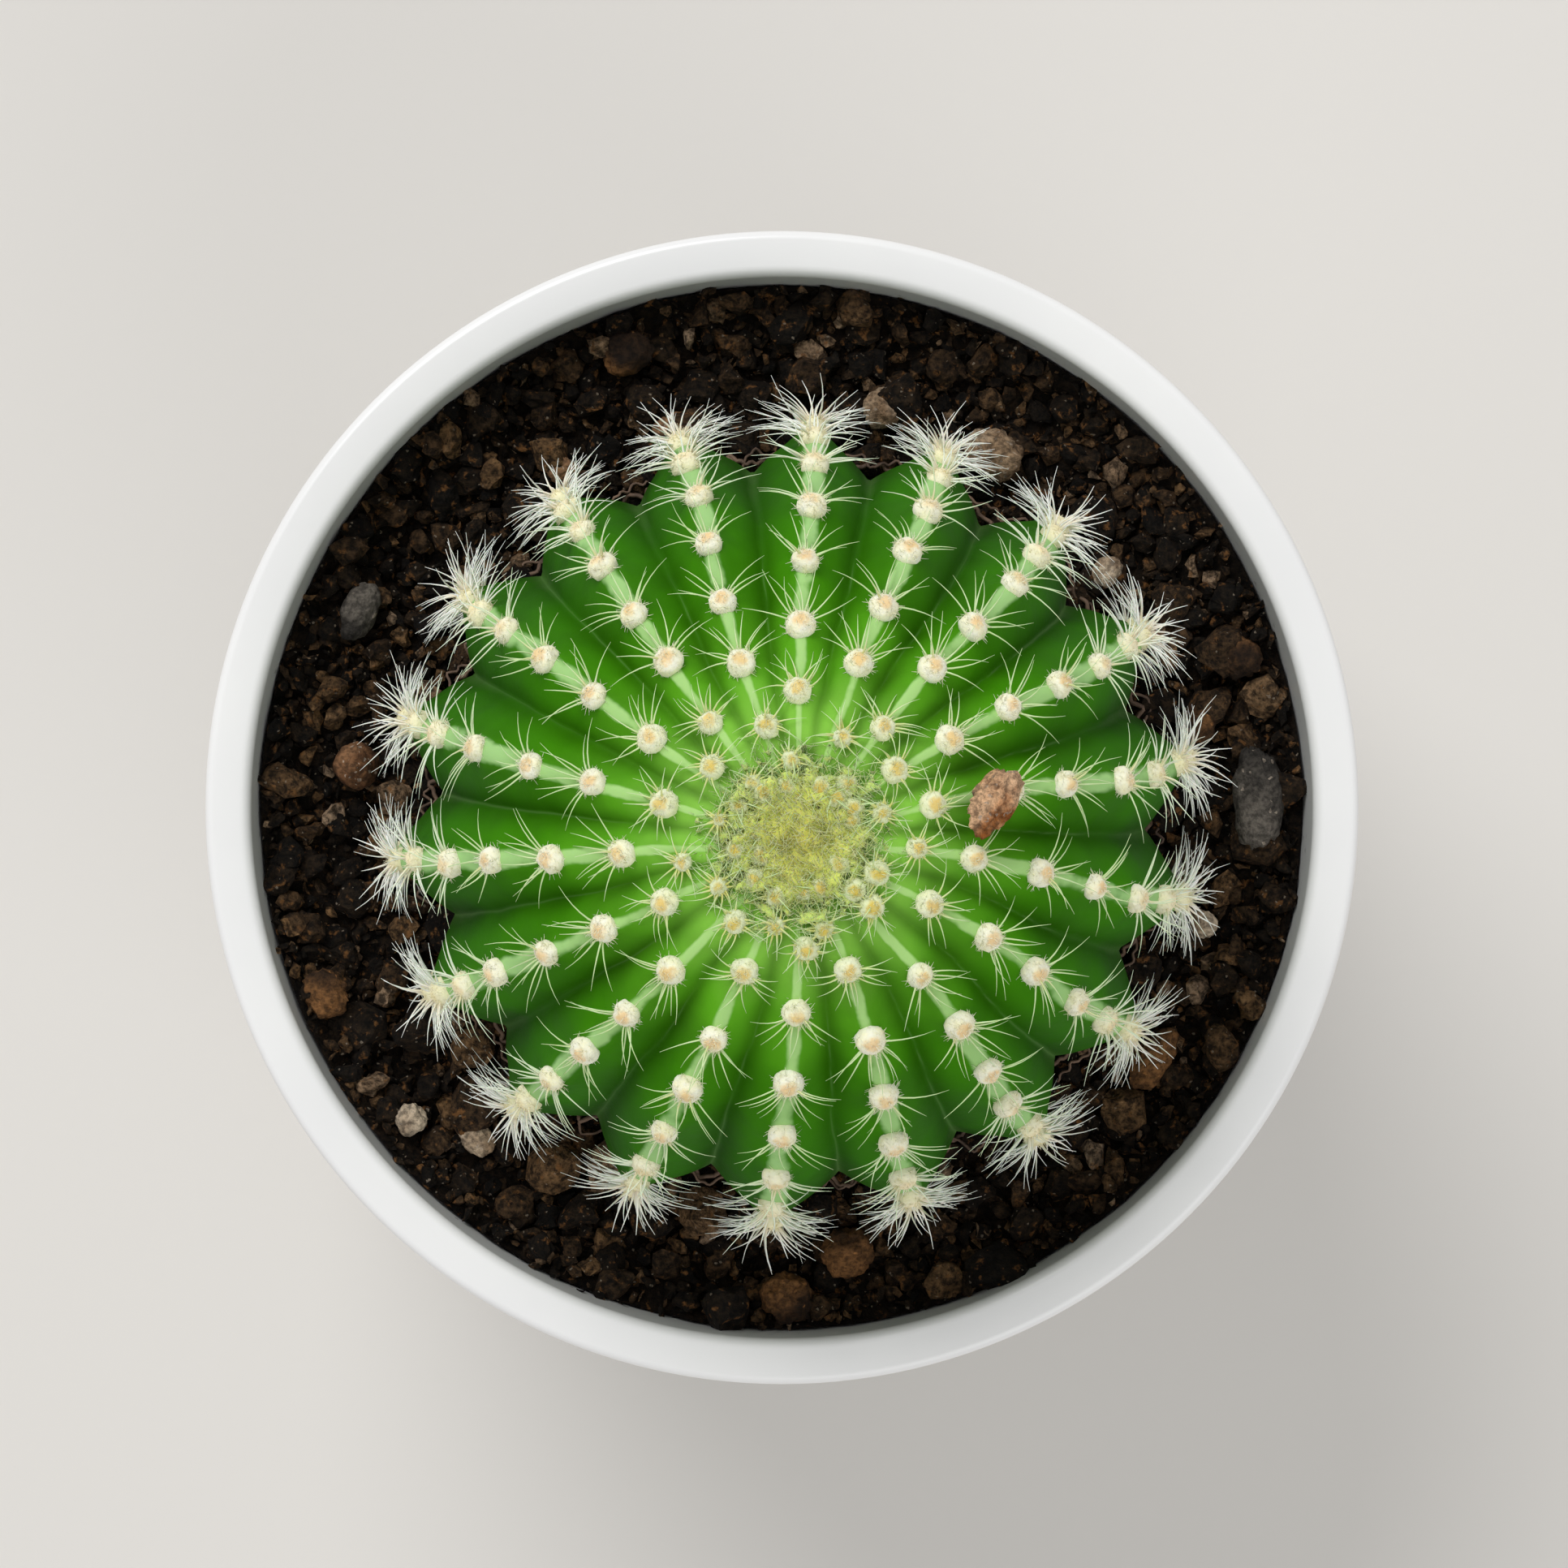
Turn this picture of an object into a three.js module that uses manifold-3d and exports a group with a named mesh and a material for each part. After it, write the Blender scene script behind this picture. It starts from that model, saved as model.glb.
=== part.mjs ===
// A round ball cactus growing in a white ceramic pot.
//
// The frame is in millimetres with +Z up. The origin is the centre of the pot's foot, at the level of the
// surface that the pot stands on.
//
// The pot is one ceramic shell: a foot ring, a rounded belly, a straight wall that leans outwards, a rounded
// lip and a drain hole in its floor. Potting soil fills it to just below the lip. The cactus is one grown
// stem with vertical ribs and a taproot, which stands in a socket in the soil. Along each rib's crest runs a
// row of areoles, which are the woolly cushions that the spines grow from, and the rows of neighbouring ribs
// are half a step apart. Felt covers the growing point at the top. Loose grit lies on the soil between the
// stem and the wall, and one crumb of soil has landed on the spines.
import * as THREE from "three";
import { mergeVertices } from "three/addons/utils/BufferGeometryUtils.js";
import Module from "manifold-3d";

const { degToRad, lerp, smoothstep } = THREE.MathUtils;

// Driving dimensions: the pot
const POT_HEIGHT = 80;
const RIM_RADIUS = 50; // outside of the lip, the widest part
const WALL = 4;
const WALL_LEAN = degToRad(4); // from upright
const LIP_INSIDE_ROUND = 1;
const LIP_OUTSIDE_ROUND = 0.8;
const BELLY_HEIGHT = 26; // where the straight wall starts
const FOOT_RADIUS = 36; // outside of the foot ring
const FOOT_WIDTH = 5;
const FOOT_HEIGHT = 2.2;
const FLOOR = 5;
const DRAIN_RADIUS = 5.5;

// Driving dimensions: the soil and what lies on it
const HEADSPACE = 7.5; // from the lip down to the soil
const CRUMB_SIZE = new THREE.Vector3(6.6, 4.2, 3.2);
const CRUMB_SEED = 4;
const CRUMB_TURN = degToRad(42); // of its long side, from straight down the rib

// Driving dimensions: the cactus
const RIBS = 18;
const FIRST_RIB = degToRad(7); // heading of the first rib
const STEM_RADIUS = 33.5; // to the crests
const STEM_HALF_HEIGHT = 32.5;
const EQUATOR_HEIGHT = 17; // above the soil
const RIB_DEPTH = 3.6;
const RIBS_START = 0.75; // of the stem's radius, where the ribs reach their full depth
const RIBS_FADE = 8; // from the soil down to where the ribs have gone
const PLANT_OFFSET = new THREE.Vector2(0.9, -1.2); // of the equator's centre from the pot's axis
const PLANT_LEAN = degToRad(2.3);
const LEANS_TOWARDS = degToRad(-70);
const CROWN_RADIUS = 8;
const CROWN_THICKNESS = 2;
const CROWN_EDGE = 0.6; // the felt's thickness at its edge
const CROWN_SAG = 0.1; // between the felt's facets and the stem's
const CROWN_DIMPLE = 1.2;
const BASE_RADIUS_SHARE = 0.86; // of the stem's radius, where it starts to close in to the root
const ROOT_DEPTH = 26; // of the taproot's tip below the stem's base
const ROOT_RADIUS = 7;
const ROOT_TIP_RADIUS = 1;

// Driving dimensions: areoles and spines
const PAD_RADIUS = 1.1;
const PAD_HEIGHT = 1.2;
const AREOLE_PITCH = 6.35; // along the crest
const FIRST_AREOLE = 11.5; // from the growing point, along the crest
const STRIP_WIDTH = 0.9; // of the thin wool line that joins a row
const STRIP_HEIGHT = 0.6;
const STRIP_LIFT = 0.5; // from the skin to the line's middle, under its clearance
const SPINE_LENGTH = 5;
const SPINE_RADIUS = 0.28;
const SPINE_RISE = degToRad(25); // above the skin
const SPINE_HEADINGS = [-55, 0, 55].map(degToRad); // from straight down the rib

// Clearance between two pieces that touch
const GAP = 0.3;
const SOCKET_SLACK = 0.1; // between the socket's facets and the stem's, besides the gap

// Fineness of the facets
const ROUND_STEPS = 64;
const ARC_STEPS = 2; // half the points in a quarter turn of a profile
const STEPS_PER_RIB = 4; // crest, flank, valley, flank
const MERIDIAN_STEPS = 12;
const ROOT_STEPS = 4;
const CROWN_ROUND_STEPS = 20;
const CROWN_STEPS = 4;

// Sizes that follow from the driving ones
const FLOOR_TOP = FOOT_HEIGHT + FLOOR;
const SOIL_LEVEL = POT_HEIGHT - HEADSPACE;
const RIB_ANGLE = (2 * Math.PI) / RIBS;
const UP = new THREE.Vector3(0, 0, 1);

const wasm = await Module();
wasm.setup();

// Finishes

const glazedCeramic = finish("#e6e6e4", 0.3);
const pottingSoil = finish("#1d150e", 0.95);
const cactusSkin = finish("#3c7a22", 0.5);
const areoleWool = finish("#efe4c8", 0.9);
const crownWool = finish("#c8cc80", 0.95);
const palePumice = finish("#b9a491", 0.9);
const brownGrit = finish("#6b4c33", 0.9);
const darkBark = finish("#38322c", 0.85);

function finish(color, roughness) {
  return new THREE.MeshStandardMaterial({ color, roughness, metalness: 0 });
}

// Solids

// A geometry as a manifold-3d solid.
function solidOf(geometry) {
  const bare = geometry.clone();
  bare.deleteAttribute("normal");
  bare.deleteAttribute("uv");
  const merged = mergeVertices(bare, 1e-4);
  return new wasm.Manifold(
    new wasm.Mesh({
      numProp: 3,
      vertProperties: merged.attributes.position.array,
      triVerts: new Uint32Array(merged.index.array),
    }),
  );
}

// A manifold-3d solid as a geometry.
function geometryOf(solid) {
  const mesh = solid.getMesh();
  const geometry = new THREE.BufferGeometry();
  geometry.setAttribute("position", new THREE.BufferAttribute(mesh.vertProperties, 3));
  geometry.setIndex(new THREE.BufferAttribute(mesh.triVerts, 1));
  geometry.computeVertexNormals();
  return geometry;
}

// A profile of (radius, height) points turned about +Z.
function turned(points, steps = ROUND_STEPS) {
  return new THREE.LatheGeometry(points, steps).rotateX(Math.PI / 2);
}

// The points of a path that starts and ends at the same place.
function closedPoints(path) {
  const points = path.getPoints(ARC_STEPS);
  points[points.length - 1] = points[0].clone();
  return points;
}

function named(name, geometry, material) {
  const mesh = new THREE.Mesh(geometry, material);
  mesh.name = name;
  return mesh;
}

// The pot

function outerRadius(height) {
  return RIM_RADIUS - (POT_HEIGHT - LIP_OUTSIDE_ROUND - height) * Math.tan(WALL_LEAN);
}

function innerRadius(height) {
  return outerRadius(height) - WALL;
}

// Where the inside of the pot turns from floor to belly.
const CORNER_RADIUS = FOOT_RADIUS - WALL;

// One rounded edge of the lip, a quarter turn that begins at an angle.
function roundLip(path, centre, radius, start) {
  path.absarc(centre, POT_HEIGHT - radius, radius, start, start + Math.PI / 2, false);
}

function potProfile() {
  const footInside = FOOT_RADIUS - FOOT_WIDTH;
  const outside = outerRadius(BELLY_HEIGHT);
  const inside = innerRadius(BELLY_HEIGHT);
  const path = new THREE.Path();
  path.moveTo(footInside, 0);
  path.lineTo(FOOT_RADIUS, 0);
  path.lineTo(FOOT_RADIUS, FOOT_HEIGHT);
  path.absellipse(
    FOOT_RADIUS, BELLY_HEIGHT, outside - FOOT_RADIUS, BELLY_HEIGHT - FOOT_HEIGHT, -Math.PI / 2, 0, false,
  );
  roundLip(path, RIM_RADIUS - LIP_OUTSIDE_ROUND, LIP_OUTSIDE_ROUND, 0);
  roundLip(path, RIM_RADIUS - WALL + LIP_INSIDE_ROUND, LIP_INSIDE_ROUND, Math.PI / 2);
  path.absellipse(
    CORNER_RADIUS, BELLY_HEIGHT, inside - CORNER_RADIUS, BELLY_HEIGHT - FLOOR_TOP, 0, -Math.PI / 2, true,
  );
  path.lineTo(DRAIN_RADIUS, FLOOR_TOP);
  path.lineTo(DRAIN_RADIUS, FOOT_HEIGHT);
  path.lineTo(footInside, FOOT_HEIGHT);
  path.lineTo(footInside, 0);
  return closedPoints(path);
}

// The cactus, in its own frame: the origin is the stem's centre and +Z is its growing axis. A place on the
// stem is an angle from the growing point, down the meridian, and a heading round the axis.

const ARC_RADIUS = (STEM_RADIUS + STEM_HALF_HEIGHT) / 2;
const BASE_ANGLE = Math.PI - Math.asin(BASE_RADIUS_SHARE);
const SOIL_HEIGHT_ON_STEM = -EQUATOR_HEIGHT;

// The crest's place at an angle, as (radius, height).
function crestPoint(angle) {
  const radius = STEM_RADIUS * Math.sin(angle);
  const dimple = CROWN_DIMPLE * Math.exp(-2 * (radius / CROWN_RADIUS) ** 2);
  return new THREE.Vector2(radius, STEM_HALF_HEIGHT * Math.cos(angle) - dimple);
}

// The stem's outline from the root's tip up to the growing point, as (radius, height) at the crests.
function stemMeridian() {
  const base = crestPoint(BASE_ANGLE);
  const tipHeight = base.y - ROOT_DEPTH;
  const root = new THREE.CubicBezierCurve(
    new THREE.Vector2(ROOT_TIP_RADIUS, tipHeight),
    new THREE.Vector2(ROOT_RADIUS, tipHeight + ROOT_DEPTH * 0.35),
    new THREE.Vector2(ROOT_RADIUS, base.y - ROOT_DEPTH * 0.3),
    base,
  );
  const points = [new THREE.Vector2(0, tipHeight), ...root.getPoints(ROOT_STEPS)];
  for (let i = 1; i <= MERIDIAN_STEPS; i++) {
    points.push(crestPoint(lerp(BASE_ANGLE, 0, i / MERIDIAN_STEPS)));
  }
  points[points.length - 1].x = 0;
  return points;
}

// How far the skin lies inside the crest's outline: nothing on a crest, the rib's depth in a valley. The
// ribs fade out at the growing point and below the soil.
function ribInset(radius, height, heading) {
  const fromCrest = Math.abs(Math.cos((RIBS * (heading - FIRST_RIB)) / 2));
  const grown = smoothstep(radius, 0, STEM_RADIUS * RIBS_START);
  const aboveSoil = smoothstep(height, SOIL_HEIGHT_ON_STEM - RIBS_FADE, SOIL_HEIGHT_ON_STEM);
  const nearTop = height > 0 ? 1 : aboveSoil;
  return RIB_DEPTH * (1 - fromCrest) * grown * nearTop;
}

// The ribbed stem. A larger clearance gives the socket that it stands in.
function stemGeometry(clearance) {
  const outline = stemMeridian().map((p) => new THREE.Vector2(p.x > 0 ? p.x + clearance : 0, p.y));
  outline[0].y -= clearance;
  outline[1].y -= clearance;
  const geometry = turned(outline, RIBS * STEPS_PER_RIB).rotateZ(FIRST_RIB);
  const position = geometry.attributes.position;
  for (let i = 0; i < position.count; i++) {
    const [x, y, z] = [position.getX(i), position.getY(i), position.getZ(i)];
    const radius = Math.hypot(x, y);
    if (radius < 1e-6) continue;
    const share = 1 - ribInset(radius, z, Math.atan2(y, x)) / radius;
    position.setXY(i, x * share, y * share);
  }
  return geometry;
}

// Where one areole stands on the meridian of heading 0, with the directions down the rib and out of it.
function areoleFrame(angle, lift) {
  const here = crestPoint(angle);
  const down = new THREE.Vector3(STEM_RADIUS * Math.cos(angle), 0, -STEM_HALF_HEIGHT * Math.sin(angle));
  down.normalize();
  const side = new THREE.Vector3(0, 1, 0);
  const out = new THREE.Vector3().crossVectors(side, down).negate();
  const place = new THREE.Vector3(here.x, 0, here.y).addScaledVector(out, lift);
  return { place, down, side, out };
}

// The angles of a row's areoles, from the top down. An offset of half a step sets neighbouring rows apart.
// A row ends where its next spines would reach down to the tallest grit on the soil.
function areoleAngles(stepOffset) {
  const tallestGrit = Math.max(...GRIT.map((piece) => piece.tall));
  const lowest = SOIL_HEIGHT_ON_STEM + tallestGrit + GAP + SPINE_LENGTH * Math.cos(SPINE_RISE);
  const angles = [];
  for (let k = 0; ; k++) {
    const angle = (FIRST_AREOLE + AREOLE_PITCH * (k + stepOffset)) / ARC_RADIUS;
    if (crestPoint(angle).y < lowest) return angles;
    angles.push(angle);
  }
}

// A spine from an areole: a slim three-sided cone, no longer than the ribs are apart.
function spineGeometry(angle, frame, heading) {
  const room = RIB_ANGLE * STEM_RADIUS * Math.sin(angle) - PAD_RADIUS;
  const length = Math.min(SPINE_LENGTH, room);
  const along = new THREE.Vector3()
    .addScaledVector(frame.down, Math.cos(heading) * Math.cos(SPINE_RISE))
    .addScaledVector(frame.side, Math.sin(heading) * Math.cos(SPINE_RISE))
    .addScaledVector(frame.out, Math.sin(SPINE_RISE));
  const turn = new THREE.Quaternion().setFromUnitVectors(new THREE.Vector3(0, 1, 0), along);
  return new THREE.ConeGeometry(SPINE_RADIUS, length, 3)
    .translate(0, length / 2, 0)
    .applyQuaternion(turn)
    .translate(frame.place.x, frame.place.y, frame.place.z);
}

// The thin wool line that runs down the crest from the first areole to the last.
function stripGeometry(angles) {
  const section = new THREE.Shape([
    new THREE.Vector2(-STRIP_WIDTH / 2, -STRIP_HEIGHT / 2),
    new THREE.Vector2(STRIP_WIDTH / 2, -STRIP_HEIGHT / 2),
    new THREE.Vector2(STRIP_WIDTH / 2, STRIP_HEIGHT / 2),
    new THREE.Vector2(-STRIP_WIDTH / 2, STRIP_HEIGHT / 2),
  ]);
  const last = angles[angles.length - 1];
  const line = new THREE.Curve();
  line.getPoint = (t) => areoleFrame(lerp(angles[0], last, t), GAP + STRIP_LIFT).place;
  const steps = angles.length - 1;
  return new THREE.ExtrudeGeometry(section, { steps, extrudePath: line });
}

// A row of areoles on the rib of heading 0: cushions with their spines, joined by the wool line.
function spineRow(angles) {
  let row = solidOf(stripGeometry(angles));
  for (const angle of angles) {
    const frame = areoleFrame(angle, GAP + PAD_HEIGHT / 2);
    const pad = new THREE.OctahedronGeometry(1, 0)
      .scale(PAD_RADIUS, PAD_RADIUS, PAD_HEIGHT / 2)
      .applyMatrix4(new THREE.Matrix4().makeBasis(frame.down, frame.side, frame.out))
      .translate(frame.place.x, frame.place.y, frame.place.z);
    row = row.add(solidOf(pad));
    for (const heading of SPINE_HEADINGS) row = row.add(solidOf(spineGeometry(angle, frame, heading)));
  }
  return geometryOf(row);
}

// The felt over the growing point: it follows the stem below and bulges above.
function crownProfile() {
  const rim = Math.asin(CROWN_RADIUS / STEM_RADIUS);
  const under = [];
  const over = [];
  for (let i = 0; i <= CROWN_STEPS; i++) {
    const share = i / CROWN_STEPS;
    const point = crestPoint(rim * share);
    const thickness = lerp(CROWN_THICKNESS, CROWN_EDGE, share ** 2);
    under.push(new THREE.Vector2(point.x, point.y + GAP + CROWN_SAG));
    over.push(new THREE.Vector2(point.x, point.y + GAP + CROWN_SAG + thickness));
  }
  over.reverse();
  return [...under, ...over];
}

// Grit

// A rough stone: a ball whose skin swells and sinks with its place, then stretched to its size.
function stoneGeometry(size, seed) {
  const geometry = new THREE.IcosahedronGeometry(0.5, 1);
  const position = geometry.attributes.position;
  const point = new THREE.Vector3();
  for (let i = 0; i < position.count; i++) {
    point.fromBufferAttribute(position, i);
    const [x, y, z] = point;
    const wave = Math.sin(9 * x + seed) + Math.sin(8 * y + 2.3 * seed) + Math.sin(7 * z + 3.1 * seed);
    point.multiplyScalar(0.94 + 0.05 * wave);
    position.setXYZ(i, point.x, point.y, point.z);
  }
  return geometry.scale(size.x, size.y, size.z);
}

// The grit on the soil. heading is round the pot's axis, in degrees. across is along the rim, deep is towards
// the axis, and reach is 0 beside the stem and 1 against the wall.
const GRIT = [
  // name, heading, reach, across, deep, tall, material
  ["large_bark_chip", 1, 0.91, 11, 4.4, 3, darkBark],
  ["brown_bark_piece", 11.5, 0.4, 3.6, 3, 2.6, brownGrit],
  ["east_rim_clod", 18, 0.9, 3.8, 3.4, 2.8, brownGrit],
  ["small_tan_stone", 36, 0.2, 2.6, 2.9, 2.2, palePumice],
  ["large_pumice_stone", 59, 0.16, 5, 4.8, 3.8, palePumice],
  ["small_pumice_stone", 76, 0.25, 3.5, 3.5, 2.8, palePumice],
  ["orange_clay_crumb", 106, 0.15, 3.6, 2.7, 2.2, brownGrit],
  ["long_brown_grain", 109, 0.9, 4.6, 3.8, 2.8, brownGrit],
  ["small_clay_grain", 123, 0.2, 2.8, 2.8, 2.2, brownGrit],
  ["dark_oval_pebble", 155, 0.75, 5.4, 3.3, 2.8, darkBark],
  ["round_clay_ball", 174.5, 0.35, 4, 4, 3.7, brownGrit],
  ["west_rim_clod", 202, 1, 4.2, 4, 3, brownGrit],
  ["pale_pink_stone", 220, 0.9, 2.8, 3, 2.4, palePumice],
  ["grey_tan_stone", 227.5, 0.6, 3.5, 2.7, 2.4, palePumice],
  ["south_rim_clod", 270.5, 1, 4.6, 4.2, 3.2, darkBark],
  ["round_soil_clod", 278.5, 0.6, 4.4, 4.4, 3.4, brownGrit],
  ["long_brown_chip", 326, 0.6, 6, 3.4, 2.6, brownGrit],
  ["small_white_stone", 344.5, 0.5, 2.8, 2.7, 2.2, palePumice],
].map(([name, heading, reach, across, deep, tall, material]) => {
  return { name, heading, reach, across, deep, tall, material };
});

// A piece of grit, resting on the soil between the stem's foot and the wall.
function gritMesh({ name, heading, reach, across, deep, tall, material }, index) {
  const mesh = named(name, stoneGeometry(new THREE.Vector3(deep, across, tall), index + 1), material);
  const stemThere = crestPoint(Math.acos((SOIL_HEIGHT_ON_STEM + tall) / STEM_HALF_HEIGHT)).x;
  const inner = stemThere + PLANT_OFFSET.length() + GAP + deep / 2;
  const outer = Math.sqrt((innerRadius(SOIL_LEVEL) - GAP) ** 2 - (across / 2 + GAP) ** 2) - deep / 2 - GAP;
  const distance = lerp(Math.min(inner, outer), outer, reach);
  const turn = degToRad(heading);
  mesh.geometry.computeBoundingBox();
  mesh.position.set(
    distance * Math.cos(turn),
    distance * Math.sin(turn),
    SOIL_LEVEL + GAP - mesh.geometry.boundingBox.min.z,
  );
  mesh.rotation.z = turn;
  return mesh;
}

// The assembly

const plant = new THREE.Group();
plant.position.set(PLANT_OFFSET.x, PLANT_OFFSET.y, SOIL_LEVEL + EQUATOR_HEIGHT);
plant.quaternion.setFromAxisAngle(
  new THREE.Vector3(-Math.sin(LEANS_TOWARDS), Math.cos(LEANS_TOWARDS), 0),
  PLANT_LEAN,
);
plant.updateMatrixWorld();

plant.add(named("cactus_stem", stemGeometry(0), cactusSkin));
plant.add(named("crown_felt", turned(crownProfile(), CROWN_ROUND_STEPS), crownWool));

const rowKinds = [0, 0.5].map((stepOffset) => spineRow(areoleAngles(stepOffset)));
for (let rib = 0; rib < RIBS; rib++) {
  const number = String(rib + 1).padStart(2, "0");
  const row = named(`spine_row_${number}`, rowKinds[rib % 2], areoleWool);
  row.rotation.z = FIRST_RIB + rib * RIB_ANGLE;
  plant.add(row);
}

// The crumb lies on the spines of the first rib, between its top two areoles.
const [topAngle, nextAngle] = areoleAngles(0);
const crumbAngle = (topAngle + nextAngle) / 2;
const spineTipHeight = GAP + PAD_HEIGHT / 2 + SPINE_LENGTH * Math.sin(SPINE_RISE);
const crumbHolder = new THREE.Group();
crumbHolder.rotation.z = FIRST_RIB;
const crumb = named("fallen_crumb", stoneGeometry(CRUMB_SIZE, CRUMB_SEED), brownGrit);
crumb.geometry.computeBoundingBox();
const crumbFrame = areoleFrame(crumbAngle, spineTipHeight + GAP - crumb.geometry.boundingBox.min.z);
crumb.position.copy(crumbFrame.place);
crumb.quaternion.setFromUnitVectors(UP, crumbFrame.out);
crumb.rotateZ(CRUMB_TURN);
crumbHolder.add(crumb);
plant.add(crumbHolder);

// The soil fills the pot and has the stem's socket in it.
function soilProfile() {
  const inside = innerRadius(BELLY_HEIGHT) - GAP;
  const bottom = FLOOR_TOP + GAP;
  const path = new THREE.Path();
  path.moveTo(0, bottom);
  path.lineTo(CORNER_RADIUS, bottom);
  path.absellipse(
    CORNER_RADIUS, BELLY_HEIGHT, inside - CORNER_RADIUS, BELLY_HEIGHT - bottom, -Math.PI / 2, 0, false,
  );
  path.lineTo(innerRadius(SOIL_LEVEL) - GAP, SOIL_LEVEL);
  path.lineTo(0, SOIL_LEVEL);
  return path.getPoints(ARC_STEPS);
}

const socket = stemGeometry(GAP + SOCKET_SLACK).applyMatrix4(plant.matrixWorld);
const soil = solidOf(turned(soilProfile())).subtract(solidOf(socket));

const pottedCactus = new THREE.Group();
pottedCactus.add(named("pot", turned(potProfile()), glazedCeramic));
pottedCactus.add(named("potting_soil", geometryOf(soil), pottingSoil));
pottedCactus.add(plant);
GRIT.forEach((piece, index) => pottedCactus.add(gritMesh(piece, index)));

export default pottedCactus;
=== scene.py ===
"""A round ball cactus in a white ceramic pot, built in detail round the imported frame. Sizes are in metres."""

import math
import random

import bmesh
import bpy
from mathutils import Matrix, Vector, noise


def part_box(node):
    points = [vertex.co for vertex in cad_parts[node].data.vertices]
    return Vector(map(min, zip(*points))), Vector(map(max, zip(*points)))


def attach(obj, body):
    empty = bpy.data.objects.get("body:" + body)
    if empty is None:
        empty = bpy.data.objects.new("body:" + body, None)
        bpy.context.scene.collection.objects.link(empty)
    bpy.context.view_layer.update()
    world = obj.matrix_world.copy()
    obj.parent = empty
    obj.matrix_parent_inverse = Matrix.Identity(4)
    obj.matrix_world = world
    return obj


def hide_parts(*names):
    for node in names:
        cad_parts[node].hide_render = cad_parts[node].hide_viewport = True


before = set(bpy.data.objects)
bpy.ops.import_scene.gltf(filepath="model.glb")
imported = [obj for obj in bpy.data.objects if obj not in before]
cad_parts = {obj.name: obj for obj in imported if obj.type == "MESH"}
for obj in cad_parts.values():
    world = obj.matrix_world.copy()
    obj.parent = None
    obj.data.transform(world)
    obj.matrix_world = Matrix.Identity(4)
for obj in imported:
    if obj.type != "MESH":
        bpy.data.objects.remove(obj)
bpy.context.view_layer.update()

MM = 0.001
UP = Vector((0, 0, 1))

# The pot
POT_HEIGHT = 80 * MM
RIM_RADIUS = 50 * MM
WALL = 4 * MM
WALL_LEAN = math.radians(4)
LIP_INSIDE_ROUND = 1 * MM
LIP_OUTSIDE_ROUND = 0.8 * MM
BELLY_HEIGHT = 26 * MM
FOOT_RADIUS = 36 * MM
FOOT_WIDTH = 5 * MM
FOOT_HEIGHT = 2.2 * MM
FLOOR_TOP = 7.2 * MM
DRAIN_RADIUS = 5.5 * MM

# The soil
SOIL_LEVEL = 72.5 * MM
SOIL_BOTTOM = 40 * MM
SOIL_SINK = 0.6 * MM  # how far the mean surface lies under the level, which its lumps reach
HEAP_FOOT = 38.5 * MM  # from the pot's axis to where the soil starts to rise towards the wall
HEAP_WIDTH = 7 * MM
HEAP_SIDE = math.radians(200)  # the side where it's heaped up most

# The cactus
RIBS = 18
FIRST_RIB = math.radians(7)
STEM_RADIUS = 33.5 * MM
STEM_HALF_HEIGHT = 32.5 * MM
EQUATOR_HEIGHT = 17 * MM
RIB_DEPTH = 3.8 * MM
ROOT_DEPTH = 18 * MM
CROWN_RADIUS = 8 * MM
CROWN_DIMPLE = 1.2 * MM
AREOLE_STEP = 6.35 / 33  # radians down the crest
FIRST_AREOLE = 11.5 / 33
LAST_AREOLE = 1.83
CROWN_SHRINK = 0.58  # from one areole's distance from the growing point to the next one's in
SWAY = math.radians(2)  # how far the ribs crowd towards +X
TWIST = math.radians(2.6)  # how far the ribs curl round near the crown
TWIST_REACH = (0.3, 1.0)  # radians down the crest, over which the curl fades
PAD_RADIUS = 1.2 * MM
PLANT_OFFSET = Vector((0.9 * MM, -1.2 * MM, SOIL_LEVEL + EQUATOR_HEIGHT))
LEANS_TOWARDS = math.radians(-70)
PLANT_LEAN = math.radians(2.3)
PLANT = Matrix.Translation(PLANT_OFFSET) @ Matrix.Rotation(
    PLANT_LEAN, 4, Vector((-math.sin(LEANS_TOWARDS), math.cos(LEANS_TOWARDS), 0))
)


# ---------------------------------------------------------------- node trees


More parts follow.
